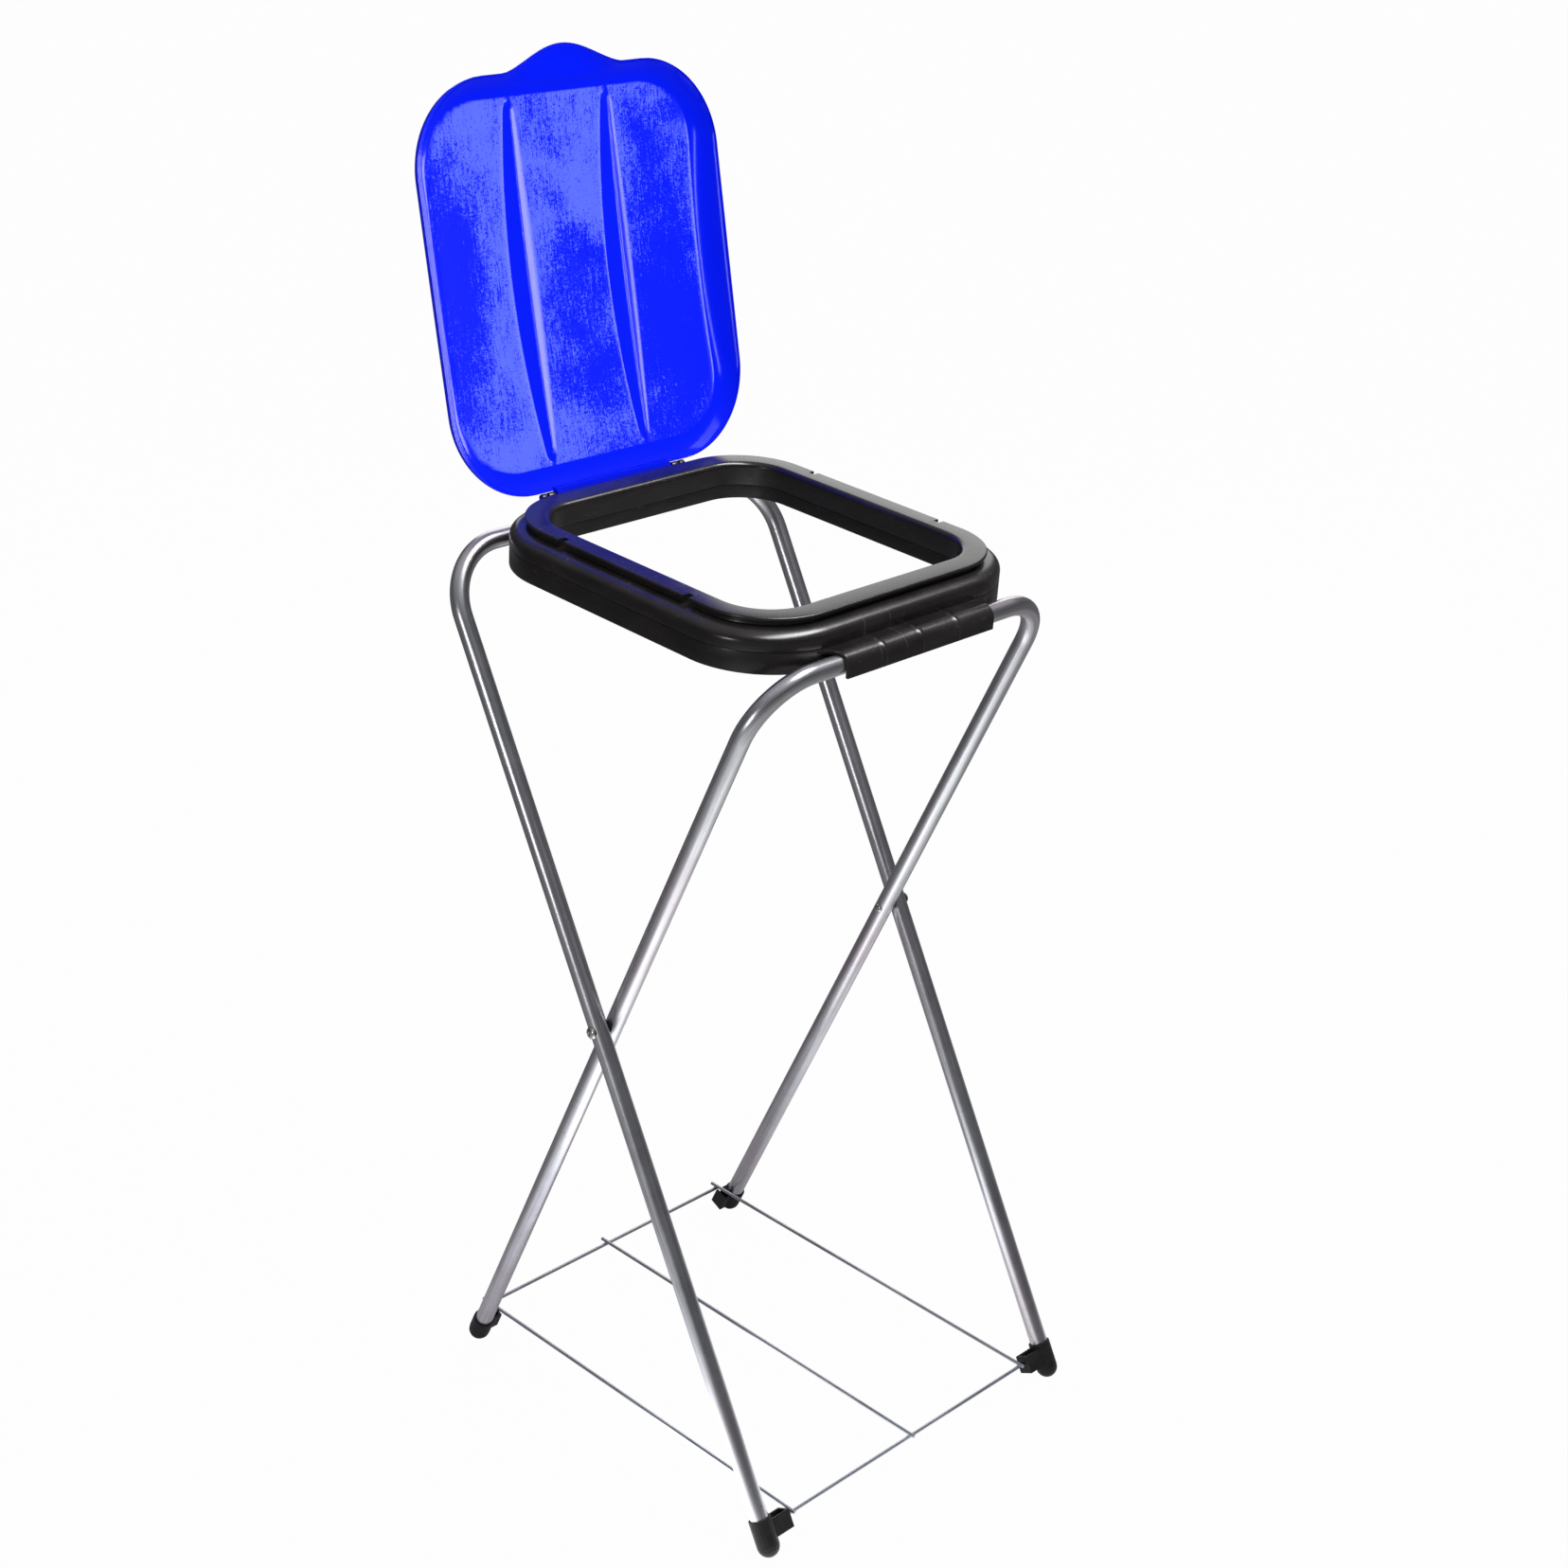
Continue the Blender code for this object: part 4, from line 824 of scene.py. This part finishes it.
# Lid
def lid_half_width(s):
    """Half the width at a distance s from the hinge edge: straight sides, quarter-circle corners."""
    corner = LID_CORNER_RADIUS
    short = np.maximum(np.clip(corner - s, 0, corner), np.clip(s - (LID_LENGTH - corner), 0, corner))
    return LID_HALF_WIDTH - corner + np.sqrt(np.maximum(corner**2 - short**2, 0))


def lid_inset(x, s):
    """Distance of a point inside the rounded outline."""
    corner = LID_CORNER_RADIUS
    dx = np.abs(x) - (LID_HALF_WIDTH - corner)
    ds = np.abs(s - LID_LENGTH / 2) - (LID_LENGTH / 2 - corner)
    outside = np.hypot(np.maximum(dx, 0), np.maximum(ds, 0)) + np.minimum(np.maximum(dx, ds), 0)
    return np.maximum(corner - outside, 0)


def rib_width(s):
    """Half the width of a rib, drawn to a point at both ends, and the half sine along s behind it."""
    swell = np.sin(np.clip((s - RIB_START) / (RIB_END - RIB_START), 0, 1) * math.pi)
    point = 0.12 + 0.88 * np.clip(swell / 0.10, 0, 1) ** 0.6
    return RIB_HALF_WIDTH * (0.30 + 0.70 * swell**0.8) * point, swell


def rib_shape(x, s):
    """Two ribs whose height keeps to their width; one flank is straight and the other hollows out.

    The flanks are 1 - t and (1 - t) ** 1.35 of the height, for t from 0 at the crest to 1 at the foot.
    """
    width, swell = rib_width(s)
    offset = np.clip((x - RIB_SPACING * np.where(x < 0, -1, 1)) / width, -1, 1)
    rounded = np.sqrt(offset**2 + 0.004) - math.sqrt(0.004)
    away = np.clip(1 - rounded / (math.sqrt(1.004) - math.sqrt(0.004)), 0, 1)
    across = np.where(offset < 0, away, away**1.35)
    return RIB_HEIGHT * width / RIB_HALF_WIDTH * np.clip(swell / 0.12, 0, 1) * across, offset, swell


def lid_height(x, s):
    """How far the inner face lies behind the rim: a fuller quarter sine, a shallow dome, two ribs."""
    band = np.clip(lid_inset(x, s) / LID_RIM_BAND, 0, 1)
    rim = LID_RIM_DEPTH * np.sin(band * math.pi / 2) ** LID_RIM_FULLNESS
    dome = LID_DOME * (1 - (2 * s / LID_LENGTH - 1) ** 2) * band
    return rim + dome - rib_shape(x, s)[0]


def lid_grid():
    """Rows along s, even round the corners, and columns that crowd at the rim and on the ribs."""
    corner, band = LID_CORNER_RADIUS, LID_RIM_BAND
    edge = band * np.linspace(0, 1, 17) ** 1.6
    arc = corner * (1 - np.cos(np.linspace(0, math.pi / 2, 30)))
    start = np.unique(np.round(np.concatenate([edge, arc]), 6))
    start = start[np.concatenate([[True], np.diff(start) > 0.00015])]
    middle = np.linspace(corner, LID_LENGTH - corner, 40)[1:-1]
    rows = np.concatenate([start, middle, LID_LENGTH - start[::-1]])
    rib = RIB_SPACING + rib_width(rows)[0][:, None] * np.linspace(1, -1, 33)
    inner = np.concatenate([rib, rib[:, -1:] * np.linspace(1, 0, 12)[1:]], axis=1)
    half = lid_half_width(rows)[:, None]
    outer = half - edge[None, :]
    gap = np.linspace(0, 1, 14)[None, 1:-1]
    between = outer[:, -1:] + (inner[:, :1] - outer[:, -1:]) * gap
    right = np.concatenate([outer, between, inner], axis=1)
    x = np.concatenate([right, -right[:, -2::-1]], axis=1)
    return x, np.broadcast_to(rows[:, None], x.shape)


def lid_shell():
    """Inner and outer sheets over the grid, one wall apart, joined round the rim into a closed shell.

    The tab pulls the front rows out by height * fuller raised cosine across * (band share) ** 1.5.
    """
    x, s = lid_grid()
    pull = np.clip(1 - (LID_LENGTH - s) / (LID_RIM_BAND * 0.45), 0, 1) ** 1.5
    bell = np.where(np.abs(x) < TAB_HALF_WIDTH, 0.5 + 0.5 * np.cos(x / TAB_HALF_WIDTH * math.pi), 0) ** 0.78
    moved = LID_EDGE_RISE + s + TAB_HEIGHT * bell * pull
    height = lid_height(x, s)
    band = np.clip(lid_inset(x, s) / LID_RIM_BAND, 0, 1)
    thickness = LID_WALL * smooth_step(0.35 + 0.65 * np.clip(lid_inset(x, s) / 0.0012, 0, 1))
    flat = np.stack([x, np.zeros_like(x), np.zeros_like(x)], axis=-1) + moved[..., None] * LID_ALONG
    inner = HINGE + flat + height[..., None] * LID_BEHIND
    outer = HINGE + flat + (height + thickness + (LID_WALL - thickness) * 0.5)[..., None] * LID_BEHIND
    points = np.concatenate([inner, outer[:, ::-1]], axis=1)
    measure = np.stack([np.concatenate([x, x[:, ::-1]], axis=1), np.concatenate([s, s], axis=1)], axis=-1)
    _, offset, swell = rib_shape(x, s)
    # The panel mask holds the grain, the rougher finish and the painted sheen of the bloom; the rim band
    # and the rib flanks stay clear of it.
    edge = smooth_step((band - 0.94) / 0.06)
    clear = np.where(offset < 0, offset < -0.999, smooth_step((offset - 0.35) / 0.65))
    ragged = np.where(swell > 0, clear, 1.0)
    panel = np.concatenate([edge * ragged, np.zeros_like(edge)], axis=1)
    return points, measure, panel


def closed_shell(points, measure, panel):
    """The sheets' mesh: columns close on themselves, and each end row is shut with quads."""
    rows, columns = points.shape[:2]
    mesh = surface(points, wrap_columns=True, measure=measure)
    attribute = mesh.attributes.new("panel", "FLOAT", "POINT")
    attribute.data.foreach_set("value", panel.astype(np.float32).ravel())
    work = bmesh.new()
    work.from_mesh(mesh)
    work.verts.ensure_lookup_table()
    for row in (0, rows - 1):
        for j in range(columns // 2 - 1):
            corners = [j, j + 1, columns - 2 - j, columns - 1 - j]
            work.faces.new([work.verts[row * columns + c] for c in corners])
    work.to_mesh(mesh)
    work.free()
    return mesh


def hinge_flap():
    """Plate from the hinge barrel up to the lid's edge, carried along X between the knuckles' ends.

    Its section is a round of the knuckle's size about the axis, with two straight sides up to the lid.
    """
    turn = np.linspace(math.pi * 0.97, math.pi * 2.03, 19)
    behind = np.concatenate([[-0.0013, -0.0022], EYE_RADIUS * np.cos(turn), [0.0040, 0.0042, 0.0036]])
    along = np.concatenate([[LID_EDGE_RISE + 0.0016, LID_EDGE_RISE * 0.4], EYE_RADIUS * np.sin(turn),
                            [LID_EDGE_RISE * 0.5, LID_EDGE_RISE + 0.0006, LID_EDGE_RISE + 0.0030]])
    half = KNUCKLE_END
    middle = np.linspace(-half + 0.002, half - 0.002, 41)
    x = np.concatenate([[-half, -half + 0.0004], middle, [half - 0.0004, half]])
    ease = np.where(np.abs(x) > half - 0.0002, 0.93, 1.0)[:, None]
    points = HINGE + x[:, None, None] * np.array([1.0, 0, 0])
    points = points + (behind * ease)[..., None] * LID_BEHIND + (along * ease)[..., None] * LID_ALONG
    return surface(points, wrap_columns=True, ends=True)


def make_lid(blue):
    shell = closed_shell(*lid_shell())
    across = np.array([1.0, 0, 0])
    meshes = [shell]
    for side in (-1, 1):
        start = HINGE + across * side * KNUCKLE_START
        width, reach = KNUCKLE_END - KNUCKLE_START, EAR_END - KNUCKLE_START + 0.0003
        ease = 0.0004
        profile = [(0, 0), (EYE_RADIUS - ease, 0), (EYE_RADIUS, ease), (EYE_RADIUS, width - ease),
                   (EYE_RADIUS - ease, width), (PIN_RADIUS, width), (PIN_RADIUS, reach - ease),
                   (PIN_RADIUS - ease, reach), (0, reach)]
        meshes.append(spun(profile, start, across * side, 32))
    meshes.append(hinge_flap())
    return piece("lid_moulded", meshes, blue, "lid", "lid", 38.0)


# Finishes on the solids that stay as they are
def dress(node, material):
    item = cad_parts[node]
    item.data.materials.clear()
    item.data.materials.append(material)


# Studio
def soft_box(name, place, aim, width, height, power, pieces=()):
    """A rectangular lamp at a place, turned to face a point; it may light some pieces alone."""
    lamp = bpy.data.lights.new(name, "AREA")
    lamp.shape = "RECTANGLE"
    lamp.size = width
    lamp.size_y = height
    lamp.energy = power
    item = bpy.data.objects.new(name, lamp)
    place, aim = np.asarray(place, float), np.asarray(aim, float)
    back = (place - aim) / np.linalg.norm(place - aim)
    right = np.cross([0, 0, 1.0], back)
    right /= np.linalg.norm(right)
    up = np.cross(back, right)
    item.matrix_world = Matrix([[right[k], up[k], back[k], place[k]] for k in range(3)] + [[0, 0, 0, 1]])
    item.visible_camera = False
    if pieces:
        group = bpy.data.collections.new(name + "_lights")
        for each in pieces:
            group.objects.link(each)
        item.light_linking.receiver_collection = group
    bpy.context.scene.collection.objects.link(item)


def make_floor():
    """Pale floor that the camera sees white; gloss sees it brighter on some sides and near the feet."""
    mesh = bpy.data.meshes.new("studio_floor")
    half = FLOOR_HALF_SIZE
    corners = [(-half, -half, 0), (half, -half, 0), (half, half, 0), (-half, half, 0)]
    mesh.from_pydata(corners, [], [(0, 1, 2, 3)])
    finish = new_finish("studio_white")
    shader = finish.shader()
    shader.inputs["Base Color"].default_value = colour(0.40, 0.40, 0.40)
    shader.inputs["Roughness"].default_value = 0.9
    camera = finish.add("ShaderNodeLightPath", out=0)
    glossy = finish.add("ShaderNodeLightPath", out=3)
    clear = finish.add("ShaderNodeLightPath", out=6)
    where = finish.place()
    x = finish.add("ShaderNodeSeparateXYZ", {}, {0: where}, out=0)
    y = finish.add("ShaderNodeSeparateXYZ", {}, {0: where}, out=1)
    turn = y.math("ARCTAN2", x) * (0.5 / math.pi) + 0.5
    room = finish.add("ShaderNodeValToRGB", {"stops": [
        (0.0, (0.60, 0.60, 0.64)), (1.0, (0.60, 0.60, 0.64)), (0.055, (1.70, 1.70, 1.74)),
        (0.125, (1.15, 1.15, 1.15)), (0.25, (0.70, 0.70, 0.70)), (0.375, (0.34, 0.34, 0.34)),
        (0.50, (0.50, 0.50, 0.52)), (0.625, (0.16, 0.15, 0.16)), (0.75, (0.13, 0.11, 0.13)),
        (0.875, (0.20, 0.18, 0.20))]}, {0: turn})
    reach = (x * x + y * y).math("SQRT")
    near = 1.0 - finish.band(reach, 0.38, 0.62)
    far = finish.band(reach, 1.20, 1.90)
    level = (near * 1.4 + 0.55) * (1.0 - far * 0.70)
    shown = finish.mixed(glossy, colour(1.0, 1.0, 1.0), room)
    glow = finish.add("ShaderNodeEmission", {}, {"Color": shown, "Strength": 1.0 + glossy * (level - 1.0)})
    seen = (camera + glossy * 0.8 + clear).clamped() * 0.98
    lit = Shade(finish, shader.outputs[0])
    both = finish.add("ShaderNodeMixShader", {}, {0: seen, 1: lit, 2: glow})
    finish.put(finish.tree.nodes["Material Output"].inputs["Surface"], both)
    mesh.materials.append(finish.owner)
    floor = bpy.data.objects.new("studio_floor", mesh)
    bpy.context.scene.collection.objects.link(floor)


def make_world():
    """Even dim light all round; the camera sees white, and gloss sees a soft room."""
    world = bpy.data.worlds.new("studio")
    bpy.context.scene.world = world
    finish = Finish(world)
    camera = finish.add("ShaderNodeLightPath", out=0)
    glossy = finish.add("ShaderNodeLightPath", out=3)
    clear = finish.add("ShaderNodeLightPath", out=6)
    direction = finish.add("ShaderNodeTexCoord", out=0)
    height = finish.add("ShaderNodeSeparateXYZ", {}, {0: direction}, out=2)
    room = finish.add("ShaderNodeValToRGB", {"stops": [
        (0.0, (0.40, 0.40, 0.41)), (1.0, (0.50, 0.50, 0.52)), (0.46, (0.30, 0.30, 0.31)),
        (0.53, (0.05, 0.05, 0.055)), (0.75, (0.14, 0.14, 0.15))]}, {0: height * 0.5 + 0.5})
    fill = finish.mixed(glossy, colour(0.74, 0.74, 0.74), room)
    seen = finish.mixed((camera + clear).clamped(), fill, colour(1.0, 1.0, 1.0))
    finish.put(finish.tree.nodes["Background"].inputs["Color"], seen)
    finish.tree.nodes["Background"].inputs["Strength"].default_value = 1.0


def make_camera():
    """The photograph's viewpoint: in front, to the left and above, slightly rolled."""
    camera = bpy.data.cameras.new("view")
    camera.sensor_width = 36.0
    camera.lens = CAMERA_LENS
    camera.clip_end = 200.0
    item = bpy.data.objects.new("view", camera)
    level = math.cos(CAMERA_PITCH)
    back = np.array([level * math.cos(CAMERA_HEADING), level * math.sin(CAMERA_HEADING),
                     math.sin(CAMERA_PITCH)])
    sideways = np.array([-math.sin(CAMERA_HEADING), math.cos(CAMERA_HEADING), 0.0])
    right = sideways * math.cos(CAMERA_ROLL) + np.cross(back, sideways) * math.sin(CAMERA_ROLL)
    up = np.cross(back, right)
    place = (CAMERA_X, CAMERA_FROM_PIVOT + PIVOT[1], CAMERA_HEIGHT)
    item.matrix_world = Matrix([[right[k], up[k], back[k], place[k]] for k in range(3)] + [[0, 0, 0, 1]])
    bpy.context.scene.collection.objects.link(item)
    bpy.context.scene.camera = item


def main():
    zinc = zinc_finish("zinc_tube", 700.0, colour(0.56, 0.57, 0.60), colour(0.80, 0.82, 0.85))
    zinc_wire = zinc_finish("zinc_wire", 3200.0, colour(0.32, 0.34, 0.39), colour(0.55, 0.58, 0.63))
    make_frames(zinc)
    make_rivets(nickel_finish())
    make_shelf(zinc_wire)
    rings = make_rings(ring_finish())
    lid = [make_lid(lid_finish())]
    foot = foot_finish()
    for end in ("front", "back"):
        for hand in ("left", "right"):
            dress(f"foot_{end}_{hand}", foot)
    washer = washer_finish()
    for hand in ("left", "right"):
        dress("pivot_spacer_" + hand, washer)
    make_floor()
    make_world()
    soft_box("side_right", (2.3, -0.36, 0.92), (0, 0, 0.95), 0.80, 0.62, 12.0, lid)
    soft_box("front_right", (0.86, -2.35, 1.22), (0, 0.1, 1.0), 0.28, 0.90, 42.0, lid)
    soft_box("front_strip", (-0.605, -2.426, 1.22), (0, 0.1, 1.0), 0.14, 0.90, 10.0, lid)
    soft_box("ring_top", (0.35, -0.85, 2.7), (0, 0, 0.8), 2.5, 0.65, 90.0, rings)
    soft_box("left", (-2.28, -0.40, 0.92), (0, 0, 0.8), 0.30, 0.50, 6.5)
    soft_box("top", (0.5, -0.75, 2.7), (0, 0, 0.8), 1.3, 0.9, 18.0)
    soft_box("back_right", (1.75, 1.75, 1.75), (0, 0, 0.8), 2.2, 1.3, 15.0)
    make_camera()
    bpy.context.scene.view_settings.view_transform = "Standard"


main()
